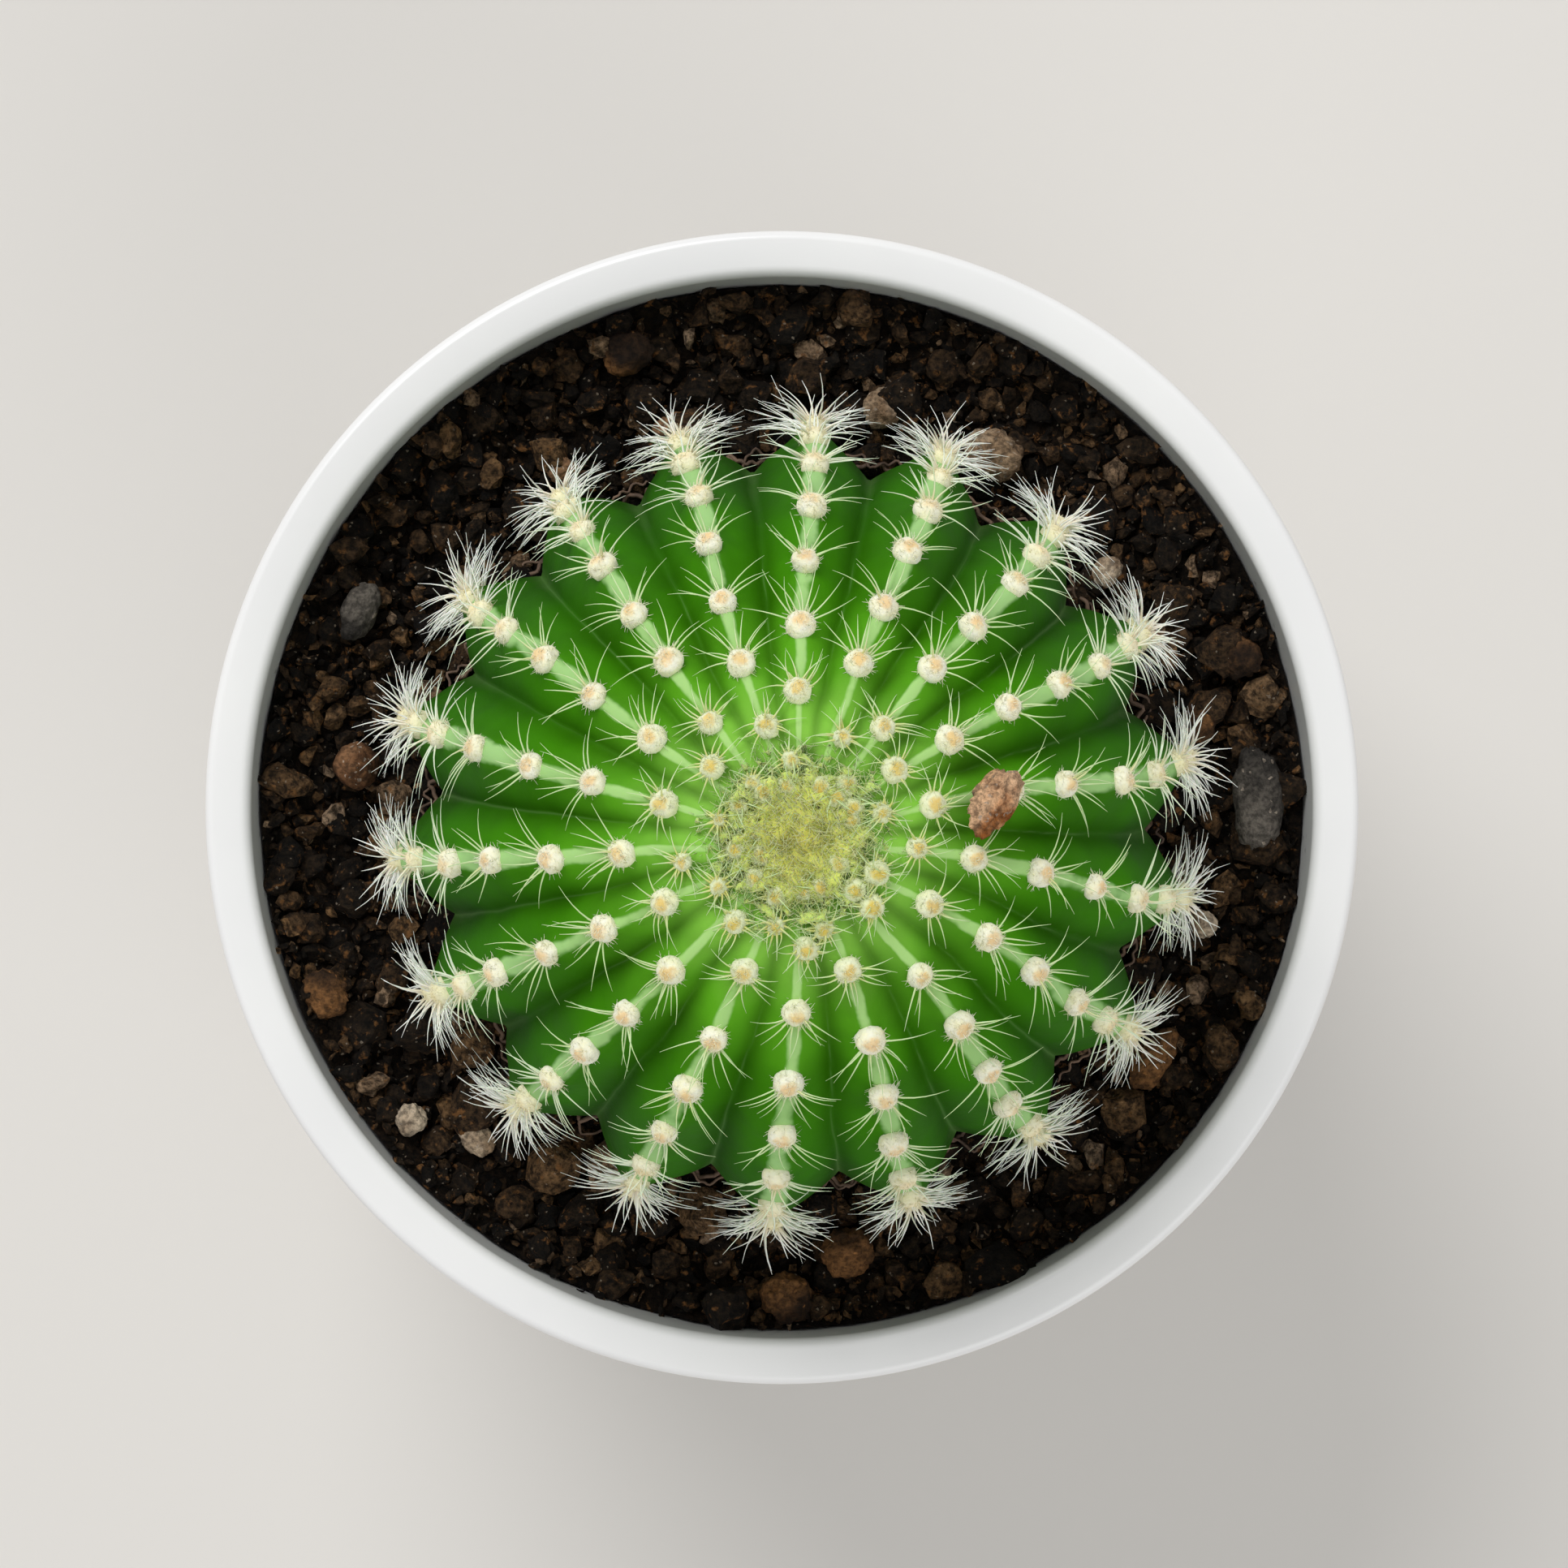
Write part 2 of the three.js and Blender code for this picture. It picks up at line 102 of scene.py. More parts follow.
class Wire:
    """A socket's value in a node tree, which arithmetic turns into further nodes."""

    def __init__(self, tree, socket):
        self.tree = tree
        self.socket = socket

    def through(self, operation, *others, node="ShaderNodeMath"):
        made = self.tree.nodes.new(node)
        made.operation = operation
        for socket, value in zip(made.inputs, (self, *others)):
            feed(self.tree, socket, value)
        return Wire(self.tree, next(s for s in made.outputs if s.enabled))

    def __add__(self, other):
        return self.through("ADD", other)

    def __sub__(self, other):
        return self.through("SUBTRACT", other)

    def __mul__(self, other):
        return self.through("MULTIPLY", other)

    def __truediv__(self, other):
        return self.through("DIVIDE", other)

    def __pow__(self, other):
        return self.through("POWER", other)

    def vector(self, operation, *others):
        return self.through(operation, *others, node="ShaderNodeVectorMath")

    def scaled(self, factor):
        made = place(self.tree, "ShaderNodeVectorMath", operation="SCALE")
        feed(self.tree, made.inputs[0], self)
        feed(self.tree, made.inputs["Scale"], factor)
        return wire(self.tree, made)

    def part(self, axis):
        """A vector's share along X, Y or Z, which are 0, 1 and 2."""
        return value_of(self.tree, "ShaderNodeSeparateXYZ", {0: self}, axis)

    def mapped(self, low, high, out_low=0.0, out_high=1.0, smooth=True):
        """The value's place between low and high, carried to the range out_low to out_high."""
        kind = "SMOOTHSTEP" if smooth else "LINEAR"
        node = place(self.tree, "ShaderNodeMapRange", interpolation_type=kind)
        for socket, number in zip(node.inputs, (self, low, high, out_low, out_high)):
            feed(self.tree, socket, number)
        return wire(self.tree, node)

    def mix(self, first, second):
        """Two colours mixed, with this value as the second one's share."""
        return mixed(self.tree, self, first, second)

    def times(self, shade):
        """A colour multiplied by another, or by a number."""
        return mixed(self.tree, 1.0, self, shade, "MULTIPLY")

    def ramp(self, *stops):
        """A colour for each place between 0 and 1."""
        node = place(self.tree, "ShaderNodeValToRGB", {"Fac": self})
        elements = node.color_ramp.elements
        while len(elements) < len(stops):
            elements.new(0.5)
        for element, (position, color) in zip(elements, stops):
            element.position = position
            element.color = color
        return wire(self.tree, node)


def feed(tree, socket, value):
    """Gives a socket its value: a link from a wire, or a plain number, colour or vector."""
    if isinstance(value, Wire):
        tree.links.new(value.socket, socket)
    elif value is not None:
        socket.default_value = value


def place(tree, kind, inputs=None, **settings):
    """A new node with its settings and inputs."""
    node = tree.nodes.new(kind)
    for name, value in settings.items():
        setattr(node, name, value)
    for name, value in (inputs or {}).items():
        feed(tree, node.inputs[name], value)
    return node


def wire(tree, node, output=0):
    return Wire(tree, node.outputs[output])


def value_of(tree, kind, inputs=None, output=0, **settings):
    return wire(tree, place(tree, kind, inputs, **settings), output)


def mixed(tree, share, first, second, blend="MIX"):
    node = place(tree, "ShaderNodeMix", data_type="RGBA", blend_type=blend)
    for socket, value in ((0, share), (6, first), (7, second)):
        feed(tree, node.inputs[socket], value)
    return wire(tree, node, 2)


def rgb(red, green, blue):
    """A colour on the 0 to 255 scale of a paint card, as the renderer's linear colour."""

    def linear(part):
        part /= 255
        return part / 12.92 if part <= 0.04045 else ((part + 0.055) / 1.055) ** 2.4

    return (linear(red), linear(green), linear(blue), 1)


def new_group(kind, name, inputs, outputs):
    """A node group with its sockets, given as (name, kind, value)."""
    tree = bpy.data.node_groups.new(name, kind)
    for label, socket_kind, value in inputs:
        socket = tree.interface.new_socket(label, in_out="INPUT", socket_type="NodeSocket" + socket_kind)
        if value is not None:
            socket.default_value = value
    for label, socket_kind in outputs:
        tree.interface.new_socket(label, in_out="OUTPUT", socket_type="NodeSocket" + socket_kind)
    given = tree.nodes.new("NodeGroupInput")
    return tree, {label: Wire(tree, given.outputs[label]) for label, _, _ in inputs}


def finish_group(tree, results):
    node = tree.nodes.new("NodeGroupOutput")
    for name, value in results.items():
        feed(tree, node.inputs[name], value)


# ---------------------------------------------------------------- shared effects


def noise_over(tree, scale, **settings):
    """A noise over the piece's own coordinates."""
    where = value_of(tree, "ShaderNodeTexCoord", output="Object")
    return value_of(tree, "ShaderNodeTexNoise", {"Vector": where, "Scale": scale, **settings})


def make_mottle():
    """Two noises: a mask of soft patches, and a finer height for the grain."""
    tree, given = new_group(
        "ShaderNodeTree",
        "mottle",
        [("Patch Scale", "Float", 200.0), ("Grain Scale", "Float", 1500.0), ("Contrast", "Float", 0.5)],
        [("Patches", "Float"), ("Grain", "Float")],
    )
    patches = noise_over(tree, given["Patch Scale"], Detail=4.0)
    grain = noise_over(tree, given["Grain Scale"], Detail=6.0, Roughness=0.65)
    half = given["Contrast"] * 0.5
    finish_group(tree, {"Patches": patches.mapped(half * -1 + 0.5, half + 0.5), "Grain": grain})
    return tree


def make_glints():
    """Small bright flecks scattered over a surface, such as mineral grains."""
    sockets = [("Scale", "Float", 900.0), ("Share", "Float", 0.1)]
    tree, given = new_group("ShaderNodeTree", "glints", sockets, [("Flecks", "Float")])
    where = value_of(tree, "ShaderNodeTexCoord", output="Object")
    voronoi = {"Vector": where, "Scale": given["Scale"]}
    cells = value_of(tree, "ShaderNodeTexVoronoi", voronoi, output="Color")
    pick = value_of(tree, "ShaderNodeSeparateColor", {"Color": cells})
    finish_group(tree, {"Flecks": pick.through("LESS_THAN", given["Share"])})
    return tree


mottle = make_mottle()
glints = make_glints()


class Finish:
    """A material under construction."""

    def __init__(self, name, roughness, **constants):
        self.material = bpy.data.materials.new(name)
        self.material.use_nodes = True
        self.tree = self.material.node_tree
        self.surface = self.tree.nodes["Principled BSDF"]
        self.surface.inputs["Roughness"].default_value = roughness
        for label, value in constants.items():
            self.surface.inputs[label.replace("_", " ")].default_value = value

    def set(self, label, value):
        feed(self.tree, self.surface.inputs[label], value)

    def mottle(self, patch_scale, grain_scale, contrast):
        """The mask of soft patches, and the grain's height."""
        values = {"Patch Scale": patch_scale, "Grain Scale": grain_scale, "Contrast": contrast}
        node = place(self.tree, "ShaderNodeGroup", node_tree=mottle)
        for label, value in values.items():
            node.inputs[label].default_value = value
        return wire(self.tree, node, "Patches"), wire(self.tree, node, "Grain")

    def glints(self, scale, share):
        node = place(self.tree, "ShaderNodeGroup", node_tree=glints)
        node.inputs["Scale"].default_value = scale
        node.inputs["Share"].default_value = share
        return wire(self.tree, node)

    def mark(self, name):
        """A number that the mesh holds for each of its points."""
        return value_of(self.tree, "ShaderNodeAttribute", output="Fac", attribute_name=name)

    def noise(self, scale, detail=3.0):
        return noise_over(self.tree, scale, Detail=detail)

    def bump(self, height, strength, distance):
        inputs = {"Height": height, "Strength": strength, "Distance": distance}
        self.set("Normal", value_of(self.tree, "ShaderNodeBump", inputs))


def glaze_finish():
    finish = Finish("white_glaze", 0.32, Coat_Weight=0.25, Coat_Roughness=0.15)
    patches, grain = finish.mottle(60.0, 2400.0, 0.7)
    clean = patches.mix(rgb(230, 230, 230), rgb(236, 236, 235))
    # Specks of soil cling to the inside of the wall, thickest just over the soil.
    where = value_of(finish.tree, "ShaderNodeTexCoord", output="Object")
    height = where.part(2)
    radius = (where.part(0) ** 2 + where.part(1) ** 2).through("SQRT")
    inside = radius.mapped(RIM_RADIUS - WALL + 0.3 * MM, RIM_RADIUS - WALL - 0.3 * MM)
    low = height.mapped(POT_HEIGHT - 2 * MM, SOIL_LEVEL + 1 * MM)
    low = low * height.mapped(SOIL_LEVEL - 6 * MM, SOIL_LEVEL - 4 * MM)
    specks = finish.noise(900.0, 5.0).mapped(0.62, 0.7) * inside * low
    finish.set("Base Color", (specks * 0.8).mix(clean, rgb(60, 48, 38)))
    finish.set("Roughness", patches.mapped(0, 1, 0.28, 0.36))
    finish.bump(finish.noise(35.0, 2.0) + grain * 0.03, 0.12, 0.4 * MM)
    return finish.material


def earthy(finish, base, grain, ochre=0.06, pale=0.006):
    """The base colour broken up as soil is: painted shade in the grain's hollows and painted light on its
    raised points, ochre stains and a few pale mineral grains.
    """
    # Painted shade and light: the colour follows the same grain that the bump raises, darkest in its hollows
    # and brightest on its tops.
    color = base.times(grain.mapped(0.4, 0.62, 0.25, 1.8, smooth=False))
    stain = finish.noise(1000.0, 6.0).mapped(0.66 - ochre, 0.76 - ochre) * grain.mapped(0.42, 0.56)
    color = (stain * 0.8).mix(color, rgb(146, 100, 56))
    return (finish.glints(5200.0, pale) * 0.6).mix(color, rgb(170, 155, 136))


def soil_finish(name, dark, light):
    finish = Finish(name, 0.9, Specular_IOR_Level=0.15)
    patches, grain = finish.mottle(420.0, 1500.0, 0.45)
    finish.set("Base Color", earthy(finish, patches.mix(dark, light), grain))
    finish.set("Roughness", patches.mapped(0, 1, 0.98, 0.75))
    finish.bump(grain, 1.0, 1.4 * MM)
    return finish.material


def crumb_finish():
    finish = Finish("loose_crumbs", 0.9, Specular_IOR_Level=0.2)
    patches, grain = finish.mottle(600.0, 1700.0, 0.6)
    base = finish.mark("tone").ramp(
        (0.0, rgb(20, 15, 9)),
        (0.5, rgb(42, 31, 19)),
        (0.8, rgb(78, 58, 38)),
        (0.94, rgb(116, 88, 58)),
        (1.0, rgb(152, 128, 104)),
    )
    base = base.times(patches.mapped(0, 1, 0.6, 1.3))
    finish.set("Base Color", earthy(finish, base, grain, 0.09, 0.01))
    finish.set("Roughness", patches.mapped(0, 1, 0.95, 0.65))
    finish.bump(grain, 1.0, 1.3 * MM)
    return finish.material


def skin_finish():
    """Waxy skin: dark flanks with painted shade deepening into the valleys, a painted highlight along each
    crest, a dusty pale valley near the soil.
    """
    soft = {"Subsurface_Weight": 0.05, "Subsurface_Scale": 1 * MM}
    finish = Finish("cactus_skin", 0.6, Specular_IOR_Level=0.05, **soft)
    finish.surface.inputs["Subsurface Radius"].default_value = (0.6, 1.0, 0.1)
    crest, down = finish.mark("crest"), finish.mark("from_top")
    patches, grain = finish.mottle(130.0, 1800.0, 0.6)
    from_crown = down / (math.pi / 2)
    flank = from_crown.ramp(
        (0.0, rgb(150, 192, 90)),
        (0.17, rgb(124, 180, 66)),
        (0.31, rgb(80, 146, 24)),
        (0.46, rgb(54, 118, 2)),
        (0.72, rgb(42, 102, 0)),
        (1.0, rgb(28, 74, 0)),
    )
    flank = flank.times(patches.mapped(0, 1, 0.82, 1.16))
    # Painted shade: the flanks darken from the crests down into the valleys between the ribs.
    flank = flank.times(crest.mapped(0.0, 0.8, 0.74, 1.1))
    # A painted highlight along each crest, where the light falls on the ribs' tops.
    crest_highlight = (crest + finish.noise(350.0) * 0.12).mapped(1.005, 1.053)
    pale = from_crown.ramp((0.15, rgb(182, 222, 138)), (0.6, rgb(170, 212, 142)))
    color = (crest_highlight * 0.9).mix(flank, pale)
    color = (crest.mapped(0.86, 0.99) * 0.12).mix(color, rgb(92, 154, 44))
    wedge = down.mapped(1.0, 1.55)
    dusty = (crest + finish.noise(260.0) * 0.2).mapped(wedge * 0.34 + 0.14, 0.1) * wedge
    color = (dusty * 0.4).mix(color, rgb(84, 118, 60))
    line = crest.mapped(0.06, 0.01) * down.mapped(0.4, 0.7)
    finish.set("Base Color", (line * 0.18).mix(color, rgb(120, 160, 92)))
    finish.set("Roughness", patches.mapped(0, 1, 0.5, 0.66))
    finish.bump(finish.noise(600.0, 4.0) * 0.6 + grain * 0.4, 0.25, 0.3 * MM)
    return finish.material


def wool_finish():
    """Areole wool: cream, with a tan centre that is yellower on the young areoles."""
    soft = {"Subsurface_Weight": 0.3, "Subsurface_Scale": 1 * MM}
    finish = Finish("areole_wool", 0.9, Specular_IOR_Level=0.1, **soft)
    finish.surface.inputs["Subsurface Radius"].default_value = (1.0, 0.9, 0.7)
    patches, grain = finish.mottle(900.0, 5000.0, 0.6)
    young, aged = finish.mark("young"), finish.mark("aged")
    heart = young.mix(rgb(244, 200, 136), rgb(222, 186, 36))
    rim = patches.mix(rgb(255, 254, 232), rgb(255, 249, 204))
    rim = (aged * 0.6).mix(rim, rgb(255, 244, 188))
    rim = (young * 0.7).mix(rim, rgb(228, 242, 180))
    centre = (finish.mark("middle") + finish.noise(1500.0) * 0.5).mapped(0.96, 1.26) * (aged * -0.7 + 0.8)
    finish.set("Base Color", centre.mix(rim, heart))
    finish.bump(grain, 0.45, 0.3 * MM)
    return finish.material


def spine_finish():
    """Glassy white spines; golden at the foot of the young ones and straw at the foot of the stout ones."""
    finish = Finish("spines", 0.35, Specular_IOR_Level=0.6, Subsurface_Weight=0.1, Subsurface_Scale=0.5 * MM)
    foot = finish.mark("along").mapped(0.75, 0.05)
    fresh = finish.noise(1200.0).mix(rgb(172, 208, 128), rgb(220, 234, 188))
    color = finish.mark("aged").mix(fresh, rgb(246, 246, 238))
    color = (finish.mark("straw") * foot * 0.5).mix(color, rgb(216, 190, 124))
    finish.set("Base Color", (finish.mark("young") ** 1.5 * foot * 0.7).mix(color, rgb(214, 196, 56)))
    finish.bump(finish.noise(3000.0), 0.1, 0.05 * MM)
    return finish.material


def felt_finish():
    """Crown felt: olive gold in the middle, paler and greener outwards."""
    soft = {"Sheen_Weight": 0.4, "Sheen_Roughness": 0.5, "Subsurface_Weight": 0.2, "Subsurface_Scale": 1 * MM}
    finish = Finish("crown_felt", 0.95, **soft)
    patches, grain = finish.mottle(500.0, 4200.0, 0.7)
    base = (finish.mark("from_top") / 0.3).ramp(
        (0.0, rgb(228, 224, 96)),
        (0.4, rgb(232, 240, 116)),
        (0.7, rgb(216, 242, 128)),
        (1.0, rgb(200, 234, 122)),
    )
    color = (finish.mark("tone") * 0.6).mix(base, rgb(246, 250, 204))
    finish.set("Base Color", color.times(patches.mapped(0, 1, 0.78, 1.15)))
    finish.bump(grain, 0.8, 0.4 * MM)
    return finish.material


PALE_FLECK = rgb(180, 165, 148)


def stone_finish(name, dark, middle, light, patch_scale=260.0, strength=0.6, flecks=0.05, fleck=PALE_FLECK):
    finish = Finish(name, 0.85, Specular_IOR_Level=0.25)
    patches, grain = finish.mottle(patch_scale, 1900.0, 0.6)
    veins = finish.noise(patch_scale * 0.5, 6.0).mapped(0.42, 0.6)
    color = (veins * 0.7).mix(patches.mix(dark, middle), light)
    color = (finish.glints(3600.0, flecks) * 0.6).mix(color, fleck)
    finish.set("Base Color", color.times(grain.mapped(0.4, 0.6, 0.45, 1.3, smooth=False)))
    finish.set("Roughness", patches.mapped(0, 1, 0.92, 0.7))
    finish.bump(grain, strength, 1.2 * MM)
    return finish.material


def dried_finish():
    finish = Finish("dried_skin", 0.7)
    patches, grain = finish.mottle(500.0, 2600.0, 0.6)
    finish.set("Base Color", patches.mix(rgb(58, 42, 32), rgb(134, 108, 88)))
    finish.bump(grain, 0.5, 0.3 * MM)
    return finish.material


# ---------------------------------------------------------------- pieces


def new_object(name, mesh, *materials):
    obj = bpy.data.objects.new(name, mesh)
    bpy.context.scene.collection.objects.link(obj)
    for material in materials:
        mesh.materials.append(material)
    return obj


def smooth(obj):
    obj.data.shade_smooth()
    return obj


def piece(obj, slot, *nodes):
    """Settles a finished piece in the frame."""
    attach(obj, "root")
    if nodes:
        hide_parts(*nodes)


def grown(obj, tree, values):
    """The plain mesh that a Geometry Nodes tree makes from an object's mesh."""
    modifier = obj.modifiers.new("grow", "NODES")
    modifier.node_group = tree
    sockets = {item.name: item.identifier for item in tree.interface.items_tree if item.in_out == "INPUT"}
    for name, value in values.items():
        modifier[sockets[name]] = value
    evaluated = obj.evaluated_get(bpy.context.evaluated_depsgraph_get())
    made = bpy.data.meshes.new_from_object(evaluated)
    obj.modifiers.remove(modifier)
    old = obj.data
    made.name = obj.name
    obj.data = made
    bpy.data.meshes.remove(old)
    return obj


def progress(value, start, reach):
    """How far a value is through a stretch, from 0 to 1."""
    return min(1.0, max(0.0, (value - start) / reach))


def circle(steps):
    """Points spaced evenly round a circle of radius 1."""
    turns = [2 * math.pi * i / steps for i in range(steps)]
    return [(math.cos(turn), math.sin(turn)) for turn in turns]


def bridged(form, rings):
    """Faces from each ring of points to the next."""
    for first, second in zip(rings, rings[1:]):
        for i in range(len(first)):
            j = (i + 1) % len(first)
            form.faces.new((first[i], second[i], second[j], first[j]))


def mesh_of(name, form):
    mesh = bpy.data.meshes.new(name)
    form.to_mesh(mesh)
    form.free()
    return mesh


def turned(name, profile, steps):
    """A closed profile of (radius, height) points turned about +Z."""
    form = bmesh.new()
    rings = [[form.verts.new((r * x, r * y, height)) for x, y in circle(steps)] for r, height in profile]
    bridged(form, rings + rings[:1])
    bmesh.ops.recalc_face_normals(form, faces=form.faces)
    return mesh_of(name, form)


def outer_radius(height):
    return RIM_RADIUS - (POT_HEIGHT - LIP_OUTSIDE_ROUND - height) * math.tan(WALL_LEAN)


def inner_radius(height):
    return outer_radius(height) - WALL


def arc(cx, cy, rx, ry, start, end, steps):
    """Points round part of an ellipse, with the angles in degrees."""
    turns = [math.radians(start + (end - start) * i / steps) for i in range(steps + 1)]
    return [(cx + rx * math.cos(t), cy + ry * math.sin(t)) for t in turns]


def lip_edge(centre, radius, start):
    return arc(centre, POT_HEIGHT - radius, radius, radius, start, start + 90, 8)


def pot_profile():
    lip = POT_HEIGHT - LIP_OUTSIDE_ROUND
    foot_inside = FOOT_RADIUS - FOOT_WIDTH
    corner = FOOT_RADIUS - WALL
    outside, inside = outer_radius(BELLY_HEIGHT), inner_radius(BELLY_HEIGHT)
    edge = 0.5 * MM
    points = arc(foot_inside + edge, edge, edge, edge, 180, 270, 4)
    points += arc(FOOT_RADIUS - edge, edge, edge, edge, 270, 360, 4)
    points += arc(FOOT_RADIUS, BELLY_HEIGHT, outside - FOOT_RADIUS, BELLY_HEIGHT - FOOT_HEIGHT, -90, 0, 20)
    rise = [BELLY_HEIGHT + (lip - BELLY_HEIGHT) * i / 12 for i in range(1, 12)]
    points += [(outer_radius(h), h) for h in rise]
    points += lip_edge(RIM_RADIUS - LIP_OUTSIDE_ROUND, LIP_OUTSIDE_ROUND, 0)
    points += lip_edge(RIM_RADIUS - WALL + LIP_INSIDE_ROUND, LIP_INSIDE_ROUND, 90)
    points += [(inner_radius(h), h) for h in reversed(rise)]
    points += arc(corner, BELLY_HEIGHT, inside - corner, BELLY_HEIGHT - FLOOR_TOP, 0, -90, 12)
    points += arc(DRAIN_RADIUS + edge, FLOOR_TOP - edge, edge, edge, 90, 180, 4)
    points += arc(DRAIN_RADIUS + edge, FOOT_HEIGHT + edge, edge, edge, 180, 270, 4)
    return points + [(foot_inside, FOOT_HEIGHT)]


def lumps(x, y):
    """The height of the soil's uneven surface at a place."""
    here = Vector((x, y, 0))
    height = 1.0 * MM * noise.noise(here * 130)
    height += 0.9 * MM * abs(noise.noise(here * 300 + Vector((5, 5, 5))))
    height += 0.5 * MM * noise.noise(here * 800)
    return height


def heap(x, y):
    """How far the soil is heaped up against the wall."""
    side = 0.5 + 0.5 * math.cos(math.atan2(y, x) - HEAP_SIDE)
    near_wall = max(0.0, (math.hypot(x, y) - HEAP_FOOT) / HEAP_WIDTH)
    return (2.6 + 0.8 * side) * MM * near_wall**2


def soil_height(x, y):
    """The soil's surface: level, heaped against the wall, and uneven."""
    return SOIL_LEVEL - SOIL_SINK + heap(x, y) + lumps(x, y)


def soil_bed():
    form = bmesh.new()
    around, rings = circle(360), 80
    wall = inner_radius(SOIL_LEVEL) - 0.05 * MM
    inner = 20 * MM
    grid = []
    for k in range(rings + 1):
        radius = inner + (wall - inner) * k / rings
        places = [(radius * x, radius * y) for x, y in around]
        grid.append([form.verts.new((x, y, soil_height(x, y))) for x, y in places])
    low = inner_radius(SOIL_BOTTOM) - 0.1 * MM
    grid.append([form.verts.new((low * x, low * y, SOIL_BOTTOM)) for x, y in around])
    bridged(form, grid)
    form.faces.new(list(reversed(grid[-1])))
    form.faces.new(grid[0])
    bmesh.ops.recalc_face_normals(form, faces=form.faces)
    return mesh_of("potting_soil_bed", form)


# ---------------------------------------------------------------- growing


class Growth:
    """A Geometry Nodes tree under construction, which takes a mesh and some named values."""

    def __init__(self, name, *inputs):
        sockets = [("Geometry", "Geometry", None), *inputs]
        self.tree, self.given = new_group("GeometryNodeTree", name, sockets, [("Geometry", "Geometry")])

    def value(self, kind, inputs=None, output=0, **settings):
        return value_of(self.tree, kind, inputs, output, **settings)

    def position(self):
        return self.value("GeometryNodeInputPosition")

    def vector(self, x=0.0, y=0.0, z=0.0):
        return self.value("ShaderNodeCombineXYZ", {0: x, 1: y, 2: z})

    def chance(self, low, high, seed):
        """A random number, or a random vector, for each point."""
        number = not isinstance(low, tuple)
        kind = "FLOAT" if number else "FLOAT_VECTOR"
        inputs = {"Seed": self.given["Seed"] + seed}
        node = place(self.tree, "FunctionNodeRandomValue", inputs, data_type=kind)
        feed(self.tree, node.inputs[2 if number else 0], low)
        feed(self.tree, node.inputs[3 if number else 1], high)
        return wire(self.tree, node, 1 if number else 0)

    def mark(self, name, kind="FLOAT"):
        return self.value("GeometryNodeInputNamedAttribute", {"Name": name}, data_type=kind)

    def store(self, geometry, name, value):
        inputs = {"Geometry": geometry, "Name": name, "Value": value}
        return self.value("GeometryNodeStoreNamedAttribute", inputs, data_type="FLOAT", domain="POINT")

    def move(self, geometry, offset):
        return self.value("GeometryNodeSetPosition", {"Geometry": geometry, "Offset": offset})

    def roughen(self, geometry, scale, detail, depth):
        """Pushes a surface's points about by a noise."""
        inputs = {"Vector": self.position(), "Scale": scale, "Detail": detail}
        push = self.value("ShaderNodeTexNoise", inputs, "Color").vector("SUBTRACT", (0.5, 0.5, 0.5))
        return self.move(geometry, push.scaled(depth))

    def scatter(self, spacing, most, where=None):
        """Points strewn over the mesh, no closer than the spacing, and the mesh's normal at each."""
        inputs = {
            "Mesh": self.given["Geometry"],
            "Selection": where,
            "Distance Min": spacing,
            "Density Max": most,
            "Seed": self.given["Seed"],
        }
        node = place(self.tree, "GeometryNodeDistributePointsOnFaces", inputs, distribute_method="POISSON")
        return wire(self.tree, node, "Points"), wire(self.tree, node, "Normal")

    def repeated(self, amount):
        """The points, each repeated, and every repeat's number."""
        inputs = {"Geometry": self.given["Geometry"], "Amount": amount}
        node = place(self.tree, "GeometryNodeDuplicateElements", inputs, domain="POINT")
        return wire(self.tree, node), wire(self.tree, node, 1)

    def hair(self, sides, pieces, bend, tip):
        """A tapered, bent hair of unit length and unit radius."""
        shape = {"Vertices": sides, "Side Segments": pieces, "Radius Top": tip, "Radius Bottom": 1.0}
        cone = self.value("GeometryNodeMeshCone", {**shape, "Depth": 1.0})
        height = self.position().part(2)
        return self.move(cone, self.vector(height * height * bend))

    def turned_to(self, main, other):
        """The turn that brings +Z to one direction and +X near another."""
        axes = {"Primary Axis": main, "Secondary Axis": other}
        return self.value("FunctionNodeAxesToRotation", axes, primary_axis="Z", secondary_axis="X")

    def copies(self, points, instance, rotation, scale):
        inputs = {"Points": points, "Instance": instance, "Rotation": rotation, "Scale": scale}
        made = self.value("GeometryNodeInstanceOnPoints", inputs)
        return self.value("GeometryNodeRealizeInstances", {"Geometry": made})

    def joined(self, *parts):
        join = self.tree.nodes.new("GeometryNodeJoinGeometry")
        for part in parts:
            self.tree.links.new(part.socket, join.inputs[0])
        return wire(self.tree, join)

    def shaded(self, geometry, soft=True):
        return self.value("GeometryNodeSetShadeSmooth", {"Geometry": geometry, "Shade Smooth": soft})

    def coated(self, geometry, material="Material"):
        inputs = {"Geometry": geometry, "Material": self.given[material]}
        return self.value("GeometryNodeSetMaterial", inputs)

    def finish(self, geometry):
        finish_group(self.tree, {"Geometry": geometry})
        return self.tree


